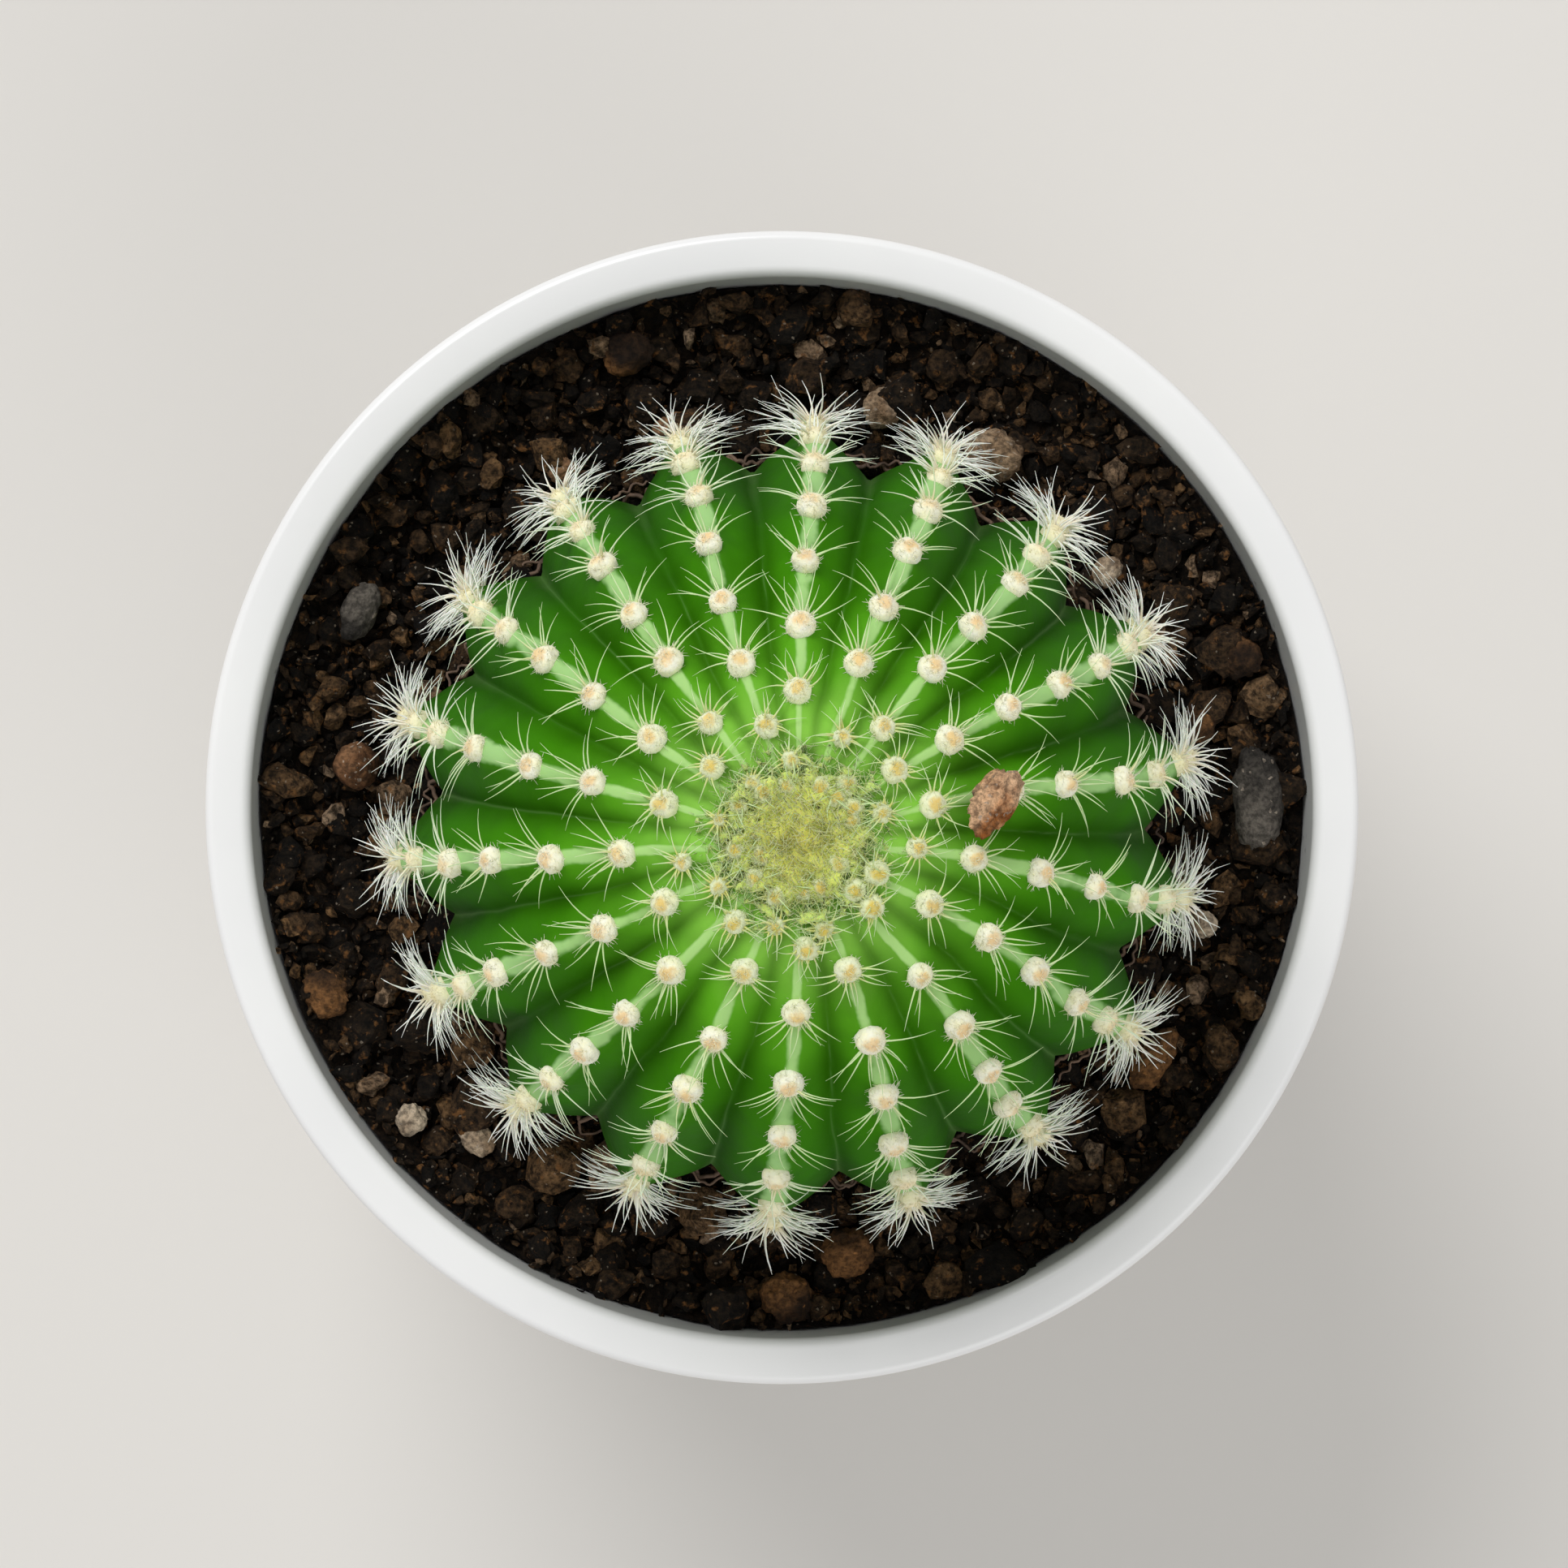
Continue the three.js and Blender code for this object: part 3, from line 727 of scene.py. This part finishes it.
def crumb_tree():
    """Scatters crumbs over the soil between two radii, each a dented lump of its own size, turn and tone."""
    growth = Growth(
        "crumb_scatter",
        ("Inner Radius", "Float", 0.02),
        ("Outer Radius", "Float", 0.04),
        ("Spacing", "Float", 0.001),
        ("Smallest", "Float", 0.001),
        ("Largest", "Float", 0.002),
        ("Lift", "Float", 0.0),
        ("Fineness", "Int", 2),
        ("Seed", "Int", 1),
        ("Material", "Material", None),
    )
    given = growth.given
    radius = growth.position().vector("MULTIPLY", (1, 1, 0)).vector("LENGTH")
    in_ring = radius.through("GREATER_THAN", given["Inner Radius"])
    in_ring = in_ring * radius.through("LESS_THAN", given["Outer Radius"])
    on_top = in_ring * growth.value("GeometryNodeInputNormal").part(2).through("GREATER_THAN", 0.2)
    points, _ = growth.scatter(given["Spacing"], 4.0e6, on_top)
    ball = growth.value("GeometryNodeMeshIcoSphere", {"Radius": 0.5, "Subdivisions": given["Fineness"]})
    spread = growth.chance(0.0, 1.0, 1) ** 2.5
    size = given["Smallest"] + (given["Largest"] - given["Smallest"]) * spread
    stretch = growth.chance((0.75, 0.75, 0.6), (1.3, 1.15, 1.0), 2).scaled(size)
    points = growth.store(points, "tone", growth.chance(0.0, 1.0, 3))
    points = growth.move(points, growth.vector(z=given["Lift"] + size * 0.25))
    crumbs = growth.copies(points, ball, growth.chance((0, 0, 0), (6.28, 6.28, 6.28), 4), stretch)
    for scale, detail, depth in ((350.0, 1.0, 2.6), (1100.0, 3.0, 1.7)):
        crumbs = growth.roughen(crumbs, scale, detail, depth * MM)
    return growth.finish(growth.coated(growth.shaded(crumbs, False)))


def stem_tree():
    """Wraps a flat grid into the ribbed ball: x goes round it and y goes from the root to the crown."""
    growth = Growth(
        "ribbed_stem",
        ("Ribs", "Float", 18.0),
        ("First Rib", "Float", 0.1),
        ("Radius", "Float", 0.03),
        ("Half Height", "Float", 0.03),
        ("Rib Depth", "Float", 0.003),
        ("Root Depth", "Float", 0.01),
        ("Material", "Material", None),
    )
    given = growth.given
    lattice = {"Size X": 1.0, "Size Y": 1.0, "Vertices X": 505, "Vertices Y": 150}
    flat = growth.position()
    heading = flat.part(0) * (2 * math.pi)
    down = (flat.part(1) * -1 + 0.5) * math.pi
    towards = heading.through("COSINE")
    shift = towards * SWAY + (towards + 1.0) * down.mapped(*TWIST_REACH, TWIST, 0.0)
    wave = ((heading - given["First Rib"] - shift) * (given["Ribs"] * 0.5)).through("COSINE")
    crest = wave.through("ABSOLUTE")
    # Each areole sits on a slight swelling, half a step lower on every other rib.
    odd = wave.through("LESS_THAN", 0.0) * 0.5
    step = (down - FIRST_AREOLE) / AREOLE_STEP - odd
    swell = (step * (2 * math.pi)).through("COSINE") * crest**6 * down.mapped(0.25, 0.6) * (0.28 * MM)
    ring = given["Radius"] * down.through("SINE")
    section = crest * 0.8 + crest**8 * 0.2
    inset = (section * -1 + 1.0) * given["Rib Depth"] * ring.mapped(0.0, STEM_RADIUS * 0.75)
    radius = ring - inset + swell
    dimple = ((ring / CROWN_RADIUS) ** 2 * -2.0).through("EXPONENT") * CROWN_DIMPLE
    rooted = down.mapped(2.3, math.pi) ** 2 * given["Root Depth"]
    height = given["Half Height"] * down.through("COSINE") - dimple - rooted
    where = growth.vector(radius * heading.through("COSINE"), radius * heading.through("SINE"), height)
    ball = growth.value("GeometryNodeMeshGrid", lattice)
    ball = growth.store(growth.store(ball, "crest", crest), "from_top", down)
    ball = growth.value("GeometryNodeSetPosition", {"Geometry": ball, "Position": where})
    ball = growth.value("GeometryNodeMergeByDistance", {"Geometry": ball, "Distance": 0.002 * MM})
    ball = growth.shaded(growth.roughen(ball, 120.0, 2.0, 0.9 * MM))
    return growth.finish(growth.coated(growth.value("GeometryNodeRealizeInstances", {"Geometry": ball})))


def areole_tree():
    """Grows a woolly cushion and a fan of curved spines on each point.

    Each point holds the directions down the rib and out of the skin, the areole's size and age, and how many
    spines it bears, how far they spread, how many stand up and how long and stout they are.
    """
    growth = Growth(
        "areoles",
        ("Spine Length", "Float", 0.0042),
        ("Spine Radius", "Float", 0.0001),
        ("Pad Radius", "Float", 0.001),
        ("Fibres", "Int", 110),
        ("Seed", "Int", 1),
        ("Wool", "Material", None),
        ("Spines", "Material", None),
    )
    given, chance = growth.given, growth.chance
    any_way = (-1, -1, -1), (1, 1, 1)
    out, down = growth.mark("out", "FLOAT_VECTOR"), growth.mark("down", "FLOAT_VECTOR")
    side = out.vector("CROSS_PRODUCT", down)
    wide = given["Pad Radius"] * growth.mark("size")

    # The cushions
    button = growth.value("GeometryNodeMeshIcoSphere", {"Radius": 1.0, "Subdivisions": 3})
    button = growth.store(button, "middle", growth.position().part(2))
    squat = growth.vector(wide, wide, wide * 0.85)
    pads = growth.copies(given["Geometry"], button, growth.turned_to(out, down), squat)
    pads = growth.roughen(pads, 1100.0, 3.0, 0.55 * MM)

    # The wool that stands out of each cushion
    loose = chance(*any_way, 11).vector("ADD", out.scaled(0.45)).vector("NORMALIZE")
    sunk = out.scaled(loose.vector("DOT_PRODUCT", out) * 0.16)
    start = loose.scaled(0.86).vector("SUBTRACT", sunk).scaled(wide)
    fibres, _ = growth.repeated(given["Fibres"])
    lean = chance(*any_way, 13)
    standing = loose.vector("ADD", lean.scaled(0.8)).vector("NORMALIZE")
    thin = growth.vector(0.045 * MM, 0.045 * MM, wide * chance(0.25, 0.7, 12))
    roots = growth.move(fibres, start)
    wool = growth.copies(roots, growth.hair(3, 1, 6.0, 0.3), growth.turned_to(standing, lean), thin)
    wool = growth.coated(growth.joined(pads, wool), "Wool")

    # The spines: most lie in a fan round the lower side of the cushion, and a few stand up from its middle
    fan, number = growth.repeated(growth.mark("spines"))
    share = (number + 0.5) / growth.mark("spines")
    upright = chance(0.0, 1.0, 21).through("LESS_THAN", growth.mark("upright"))
    around = (share * 2.0 - 1.0) * growth.mark("spread") + chance(-0.16, 0.16, 22)
    rise = chance(0.12, 0.62, 23) + upright * chance(0.3, 0.8, 24)
    flat = down.scaled(around.through("COSINE")).vector("ADD", side.scaled(around.through("SINE")))
    pointing = flat.scaled(rise.through("COSINE")).vector("ADD", out.scaled(rise.through("SINE")))
    foot = flat.scaled(wide * 0.55 * (upright * -0.7 + 1.0)).vector("ADD", out.scaled(wide * 0.2))
    feet = growth.move(growth.store(fan, "straw", upright), foot)
    length = given["Spine Length"] * growth.mark("reach") * chance(0.72, 1.08, 25) * (upright * -0.15 + 1.0)
    width = given["Spine Radius"] * (upright * 0.3 + 1.0) * growth.mark("stout")
    bend_side = out.vector("ADD", chance(*any_way, 26).scaled(1.3))
    spine = growth.store(growth.hair(5, 5, -14.0, 0.15), "along", growth.position().part(2))
    slim = growth.vector(width, width, length)
    spines = growth.copies(feet, spine, growth.turned_to(pointing, bend_side), slim)
    return growth.finish(growth.shaded(growth.joined(wool, growth.coated(spines, "Spines"))))


def felt_tree():
    """Covers a base mesh with short crossed fibres and keeps the base."""
    growth = Growth(
        "felt",
        ("Spacing", "Float", 0.0002),
        ("Fibre Length", "Float", 0.0009),
        ("Seed", "Int", 1),
        ("Material", "Material", None),
    )
    points, normal = growth.scatter(growth.given["Spacing"], 4.0e7)
    points = growth.store(points, "tone", growth.chance(0.0, 1.0, 1))
    lean = growth.chance((-1, -1, -1), (1, 1, 1), 2)
    standing = normal.vector("ADD", lean.scaled(1.1)).vector("NORMALIZE")
    size = growth.vector(0.05 * MM, 0.05 * MM, growth.given["Fibre Length"] * growth.chance(0.5, 1.2, 3))
    fibres = growth.copies(points, growth.hair(3, 3, 9.0, 0.3), growth.turned_to(standing, lean), size)
    return growth.finish(growth.coated(growth.shaded(growth.joined(fibres, growth.given["Geometry"]))))


# ---------------------------------------------------------------- the plant


def rib_shift(down, heading):
    """How far a rib stands from its even place round the stem."""
    start, stop = TWIST_REACH
    share = progress(down, start, stop - start)
    curl = TWIST * (1 - share * share * (3 - 2 * share))
    return SWAY * math.cos(heading) + curl * (1 + math.cos(heading))


def crest_place(down, heading, lift):
    """A place on a crest, with the directions down the rib and out of the skin, all in the object's frame."""
    heading += rib_shift(down, heading)
    ring = STEM_RADIUS * math.sin(down)
    dimple = CROWN_DIMPLE * math.exp(-2 * (ring / CROWN_RADIUS) ** 2)
    around = Vector((math.cos(heading), math.sin(heading), 0))
    here = around * ring + UP * (STEM_HALF_HEIGHT * math.cos(down) - dimple)
    falling = around * (STEM_RADIUS * math.cos(down)) - UP * (STEM_HALF_HEIGHT * math.sin(down))
    out = (around * (STEM_HALF_HEIGHT * math.sin(down)) + UP * (STEM_RADIUS * math.cos(down))).normalized()
    turn = PLANT.to_3x3()
    return PLANT @ (here + out * lift), turn @ falling.normalized(), turn @ out


def areole_points(name, areoles):
    """A mesh of loose points, one for each areole, that carries what the areole tree reads."""
    mesh = bpy.data.meshes.new(name)
    mesh.from_pydata([a["place"] for a in areoles], [], [])
    for label in ("down", "out"):
        marks = mesh.attributes.new(label, "FLOAT_VECTOR", "POINT")
        for mark, areole in zip(marks.data, areoles):
            mark.vector = areole[label]
    for label in ("size", "young", "aged", "upright", "spread", "reach", "stout", "spines"):
        marks = mesh.attributes.new(label, "INT" if label == "spines" else "FLOAT", "POINT")
        for mark, areole in zip(marks.data, areoles):
            mark.value = areole[label]
    return new_object(name, mesh)


def areole(down, heading, chance):
    """One areole at a place on the plant. The young ones near the crown are smaller, with shorter spines."""
    grown_up = progress(down, 0.12, 0.4)
    here, falling, out = crest_place(down, heading, 0.1 * MM)
    old = progress(down, 0.85, 0.5)
    newborn = 1 - progress(down, 0.22, 0.16)
    return {
        "place": here,
        "down": falling,
        "out": out,
        "size": (0.82 + 0.18 * grown_up) * chance.uniform(0.92, 1.08),
        "young": 1 - progress(down, 0.22, 0.3),
        "aged": old,
        "upright": 0.08 + 0.27 * old + 0.2 * newborn,
        "spread": math.radians(74 + 76 * old + 98 * newborn),
        "reach": 0.28 + 0.72 * grown_up + 0.2 * old,
        "stout": 0.95 + 0.1 * old + 0.4 * newborn,
        "spines": round(11 + 17 * old + 7 * newborn + chance.uniform(-1.5, 1.5)),
    }


def rib_start(rib):
    """A rib's heading, and how far down it the first areole is. Neighbouring ribs are half a step apart."""
    return FIRST_RIB + 2 * math.pi * rib / RIBS, FIRST_AREOLE + AREOLE_STEP * (0.5 if rib % 2 else 0)


def rib_areoles(rib, chance):
    """The areoles down one rib."""
    heading, down = rib_start(rib)
    areoles = []
    while down < LAST_AREOLE:
        nudged = down + chance.uniform(-0.015, 0.015)
        areoles.append(areole(nudged, heading + chance.uniform(-0.006, 0.006), chance))
        down += AREOLE_STEP
    return areoles


def crown_areoles(chance):
    """The young areoles on the felt, closer together the nearer they are to the growing point."""
    areoles = []
    for rib in range(RIBS):
        heading, down = rib_start(rib)
        down = CROWN_SHRINK * down
        while down > 0.11:
            nudged = down + chance.uniform(-0.03, 0.03)
            areoles.append(areole(nudged, heading + chance.uniform(-0.12, 0.12), chance))
            down *= CROWN_SHRINK
    for young in areoles:
        young["place"] = young["place"] + young["out"] * 0.2 * MM
        young["size"] *= chance.uniform(0.6, 1.1)
    return areoles


def crown_dome():
    """The felt's base: a cap over the growing point, clumped on top and thin at its ragged edge."""
    form = bmesh.new()
    steps, rings = 144, 36
    edge = math.asin(CROWN_RADIUS / STEM_RADIUS) * 1.05
    layer = form.verts.layers.float.new("from_top")

    def point(down, i, lift):
        here, _, _ = crest_place(down, 2 * math.pi * i / steps, lift)
        vert = form.verts.new(here)
        vert[layer] = down
        return vert

    def top_point(k, i):
        down, heading = edge * k / rings, 2 * math.pi * i / steps
        share = down / edge
        here = Vector((down * math.cos(heading), down * math.sin(heading), 0))
        clumps = noise.noise(here * 24) * 1.1 + noise.noise(here * 62) * 0.4
        ragged = noise.noise(here * 34 + UP) * 0.55 + noise.noise(here * 80) * 0.25
        gap = progress(share - 0.72 - ragged, 0, 0.16)
        lift = (1.25 * (1 - share**2) + clumps * (0.5 + 0.5 * share) - 0.1 * share - 1.9 * gap) * MM
        return point(down, i, lift)

    top = top_point(0, 0)
    bottom = point(0, 0, -3 * MM)
    upper = [[top_point(k, i) for i in range(steps)] for k in range(1, rings + 1)]
    lower = [point(edge, i, -3.2 * MM) for i in range(steps)]
    for i in range(steps):
        j = (i + 1) % steps
        form.faces.new((top, upper[0][i], upper[0][j]))
        for inner, outer in zip(upper, upper[1:] + [lower]):
            form.faces.new((inner[i], outer[i], outer[j], inner[j]))
        form.faces.new((bottom, lower[j], lower[i]))
    return mesh_of("crown_felt_dome", form)


def dried_edge():
    """Shrivelled threads of skin round the stem's foot, which show as thin wavy frills in the valleys."""
    form = bmesh.new()
    for seed, reach, thick in ((0, 31.4 * MM, 0.2 * MM), (7, 32.2 * MM, 0.13 * MM)):
        path = []
        for x, y in circle(900):
            around = Vector((x, y, 0))
            here = around * 17 + UP * seed
            radius = reach + (noise.noise(here) * 1.5 + noise.noise(here * 2.6) * 0.8) * MM
            height = SOIL_LEVEL + (1.9 + noise.noise(here * 0.8 + UP * 3) * 1.2) * MM
            path.append(around * radius + UP * height + Vector((PLANT_OFFSET.x, PLANT_OFFSET.y, 0)))
        sections = []
        for before, here, after in zip(path[-1:] + path[:-1], path, path[1:] + path[:1]):
            side = (after - before).cross(UP).normalized()
            top = side.cross(after - before).normalized()
            sections.append([form.verts.new(here + (side * x + top * y) * thick) for x, y in circle(6)])
        bridged(form, sections + sections[:1])
    bmesh.ops.recalc_face_normals(form, faces=form.faces)
    return mesh_of("dried_foot_frill", form)


# ---------------------------------------------------------------- grit


def settled(node, heading, across):
    """Where a loose stone lies on the heaped soil, and how it is turned. The larger ones lie higher."""
    low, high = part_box(node)
    centre = (Vector(low) + Vector(high)) / 2
    centre.z += heap(centre.x, centre.y) + across * 0.14 - SOIL_SINK
    return centre, Matrix.Rotation(math.radians(heading), 3, "Z")


def stone(name, centre, turn, size, facets, roughness, seed, material):
    """A stone in its place: a ball cut by chance planes, worn, then roughened."""
    chance = random.Random(seed)
    planes = []
    for _ in range(facets):
        normal = Vector([chance.gauss(0, 1) for _ in range(3)]).normalized()
        planes.append((normal, chance.uniform(0.72, 0.98)))
    worn = 14  # the higher, the sharper the edges between the cuts
    form = bmesh.new()
    bmesh.ops.create_icosphere(form, subdivisions=4, radius=1)
    for vert in form.verts:
        ray = vert.co.normalized()
        reach = 1.0
        for normal, distance in planes:
            toward = ray.dot(normal)
            if toward > 0.05:
                cut = distance / toward
                reach = -math.log(math.exp(-worn * reach) + math.exp(-worn * cut)) / worn
        shift = UP * seed
        reach += roughness * (0.14 * noise.noise(ray * 2.2 + shift) + 0.1 * noise.noise(ray * 5 + shift))
        reach += roughness * 0.06 * noise.noise(ray * 12 + shift)
        local = Vector([ray[k] * reach * size[k] / 2 for k in range(3)])
        vert.co = centre + turn @ local
    return smooth(new_object(name, mesh_of(name, form), material))


# ---------------------------------------------------------------- build

# Camera: straight above, a little off the pot's axis.
CAMERA_HEIGHT = 550 * MM  # above the lip
FRAME_WIDTH = 135.76 * MM  # at the lip
camera_data = bpy.data.cameras.new("camera")
camera = bpy.data.objects.new("camera", camera_data)
bpy.context.scene.collection.objects.link(camera)
camera_data.lens = camera_data.sensor_width * CAMERA_HEIGHT / FRAME_WIDTH
camera_data.clip_start = 0.05
camera.location = (0.18 * MM, 2.04 * MM, POT_HEIGHT + CAMERA_HEIGHT)
bpy.context.scene.camera = camera

# Pot
pot = smooth(new_object("ceramic_pot", turned("ceramic_pot", pot_profile(), 192), glaze_finish()))
piece(pot, "glazed_pot", "pot")

# Soil
bed_soil = soil_finish("damp_soil", rgb(14, 10, 6), rgb(34, 24, 14))
bed = smooth(new_object("potting_soil_bed", soil_bed(), bed_soil))
crumb_material = crumb_finish()
scatter = crumb_tree()
for name, spacing, smallest, largest, lift, fineness, seed in (
    ("fine_crumbs", 0.7, 0.45, 1.5, 0.1, 1, 3),
    ("middle_crumbs", 1.9, 1.2, 2.8, 0.15, 2, 8),
    ("soil_clods", 4.6, 2.4, 5.0, 0.2, 2, 5),
):
    crumbs = new_object(name, bed.data.copy())
    crumbs.data.materials.clear()
    sizes = {
        "Inner Radius": 27.5 * MM,
        "Outer Radius": inner_radius(SOIL_LEVEL) - (smallest + 0.2) * 0.5 * MM,
        "Spacing": spacing * MM,
        "Smallest": smallest * MM,
        "Largest": largest * MM,
        "Lift": lift * MM,
        "Fineness": fineness,
        "Seed": seed,
        "Material": crumb_material,
    }
    piece(grown(crumbs, scatter, sizes), "soil")
piece(bed, "soil", "potting_soil")

# Stem
stem_sizes = {
    "Ribs": float(RIBS),
    "First Rib": FIRST_RIB,
    "Radius": STEM_RADIUS,
    "Half Height": STEM_HALF_HEIGHT,
    "Rib Depth": RIB_DEPTH,
    "Root Depth": ROOT_DEPTH,
    "Material": skin_finish(),
}
stem = grown(new_object("ribbed_stem", bpy.data.meshes.new("ribbed_stem")), stem_tree(), stem_sizes)
stem.data.transform(PLANT)
piece(stem, "cactus_skin", "cactus_stem")
frill = smooth(new_object("dried_foot_frill", dried_edge(), dried_finish()))
piece(frill, "cactus_skin")

# Areoles and spines, a row for each rib
areoles = areole_tree()
coats = {"Wool": wool_finish(), "Spines": spine_finish(), "Pad Radius": PAD_RADIUS}
for rib in range(RIBS):
    number = f"{rib + 1:02d}"
    row = areole_points(f"rib_{number}_areoles", rib_areoles(rib, random.Random(100 + rib)))
    grown(row, areoles, {**coats, "Seed": 40 * rib, "Spine Radius": 0.105 * MM})
    piece(row, "spines_and_wool", f"spine_row_{number}")

# Crown
crown = new_object("crown_wool", crown_dome())
felt_sizes = {"Spacing": 0.25 * MM, "Fibre Length": 1.3 * MM, "Seed": 7, "Material": felt_finish()}
piece(grown(crown, felt_tree(), felt_sizes), "crown_felt", "crown_felt")
tufts = areole_points("crown_tufts", crown_areoles(random.Random(5)))
grown(tufts, areoles, {**coats, "Seed": 900, "Spine Radius": 0.085 * MM})
piece(tufts, "spines_and_wool")

# Grit
pumice = stone_finish("pale_pumice", rgb(116, 90, 66), rgb(168, 142, 112), rgb(226, 208, 182))
clay = stone_finish("tan_clay", rgb(76, 48, 28), rgb(124, 86, 56), rgb(162, 124, 90))
bark = stone_finish("dark_bark", rgb(44, 41, 38), rgb(72, 67, 61), rgb(112, 105, 96), flecks=0.02)
clod_colors = rgb(32, 21, 12), rgb(70, 48, 29), rgb(142, 98, 56)
clod = stone_finish("brown_clod", *clod_colors, flecks=0.012, fleck=rgb(170, 116, 66))
GRIT = [
    # node, heading, across, deep, tall, facets, roughness, material, slot
    ("large_bark_chip", 1, 11, 4.4, 3, 9, 0.8, bark, "dark_grit"),
    ("brown_bark_piece", 11.5, 3.6, 3, 2.6, 7, 1.2, clod, "brown_grit"),
    ("east_rim_clod", 18, 3.8, 3.4, 2.8, 5, 1.4, clod, "brown_grit"),
    ("small_tan_stone", 36, 2.6, 2.9, 2.2, 6, 1.0, pumice, "pumice"),
    ("large_pumice_stone", 59, 5, 4.8, 3.8, 7, 1.3, pumice, "pumice"),
    ("small_pumice_stone", 76, 3.5, 3.5, 2.8, 6, 1.2, pumice, "pumice"),
    ("orange_clay_crumb", 106, 3.6, 2.7, 2.2, 6, 1.2, clay, "clay_grit"),
    ("long_brown_grain", 109, 4.6, 3.8, 2.8, 6, 1.2, clod, "brown_grit"),
    ("small_clay_grain", 123, 2.8, 2.8, 2.2, 6, 1.2, clay, "clay_grit"),
    ("dark_oval_pebble", 155, 5.4, 3.3, 2.8, 4, 0.8, bark, "dark_grit"),
    ("round_clay_ball", 174.5, 4, 4, 3.7, 2, 0.8, clay, "clay_grit"),
    ("west_rim_clod", 202, 4.2, 4, 3, 4, 1.5, clod, "brown_grit"),
    ("pale_pink_stone", 220, 2.8, 3, 2.4, 7, 1.0, pumice, "pumice"),
    ("grey_tan_stone", 227.5, 3.5, 2.7, 2.4, 7, 1.0, pumice, "pumice"),
    ("south_rim_clod", 270.5, 4.6, 4.2, 3.2, 3, 1.4, clod, "dark_grit"),
    ("round_soil_clod", 278.5, 4.4, 4.4, 3.4, 3, 1.3, clod, "brown_grit"),
    ("long_brown_chip", 326, 6, 3.4, 2.6, 8, 1.0, clod, "brown_grit"),
    ("small_white_stone", 344.5, 2.8, 2.7, 2.2, 6, 1.0, pumice, "pumice"),
]
for seed, (node, heading, across, deep, tall, facets, rough, material, slot) in enumerate(GRIT, start=1):
    centre, turn = settled(node, heading, across * MM)
    size = (deep * MM, across * MM, tall * MM)
    piece(stone("loose_" + node, centre, turn, size, facets, rough, seed, material), slot, node)

# The crumb that lies on the spines between two areoles
crumb_colors = rgb(140, 76, 28), rgb(202, 130, 60), rgb(246, 208, 168)
crumb_brown = stone_finish("fallen_crumb", *crumb_colors, 420.0, 0.8)
lying, falling, out = crest_place(FIRST_AREOLE + AREOLE_STEP * 0.62, FIRST_RIB - 0.045, 2.0 * MM)
turn = Matrix((falling, out.cross(falling), out)).transposed() @ Matrix.Rotation(math.radians(42), 3, "Z")
size = (6.0 * MM, 3.7 * MM, 3.0 * MM)
piece(stone("fallen_crumb_of_soil", lying, turn, size, 9, 1.9, 31, crumb_brown), "brown_grit", "fallen_crumb")

# Stage
bpy.ops.mesh.primitive_plane_add(size=6)
floor = bpy.context.object
floor.name = "floor"
floor.location = (0, 0, -0.05 * MM)
backing = Finish("pale_floor", 0.8)
backing.set("Base Color", rgb(214, 211, 206))
floor.data.materials.append(backing.material)


def lamp(name, place_at, size, power):
    data = bpy.data.lights.new(name, "AREA")
    data.shape = "DISK"
    data.size = size
    data.energy = power
    obj = bpy.data.objects.new(name, data)
    obj.location = place_at
    obj.rotation_euler = (Vector((0, 0, 0.08)) - Vector(place_at)).to_track_quat("-Z", "Y").to_euler()
    bpy.context.scene.collection.objects.link(obj)


lamp("window", (-0.65, 1.25, 1.5), 1.2, 25)
lamp("fill", (0.7, -1.2, 1.3), 1.6, 9)
world = bpy.data.worlds.new("studio")
world.use_nodes = True
world.node_tree.nodes["Background"].inputs["Color"].default_value = (1, 1, 1, 1)
world.node_tree.nodes["Background"].inputs["Strength"].default_value = 0.55
bpy.context.scene.world = world
bpy.context.scene.view_settings.view_transform = "Standard"
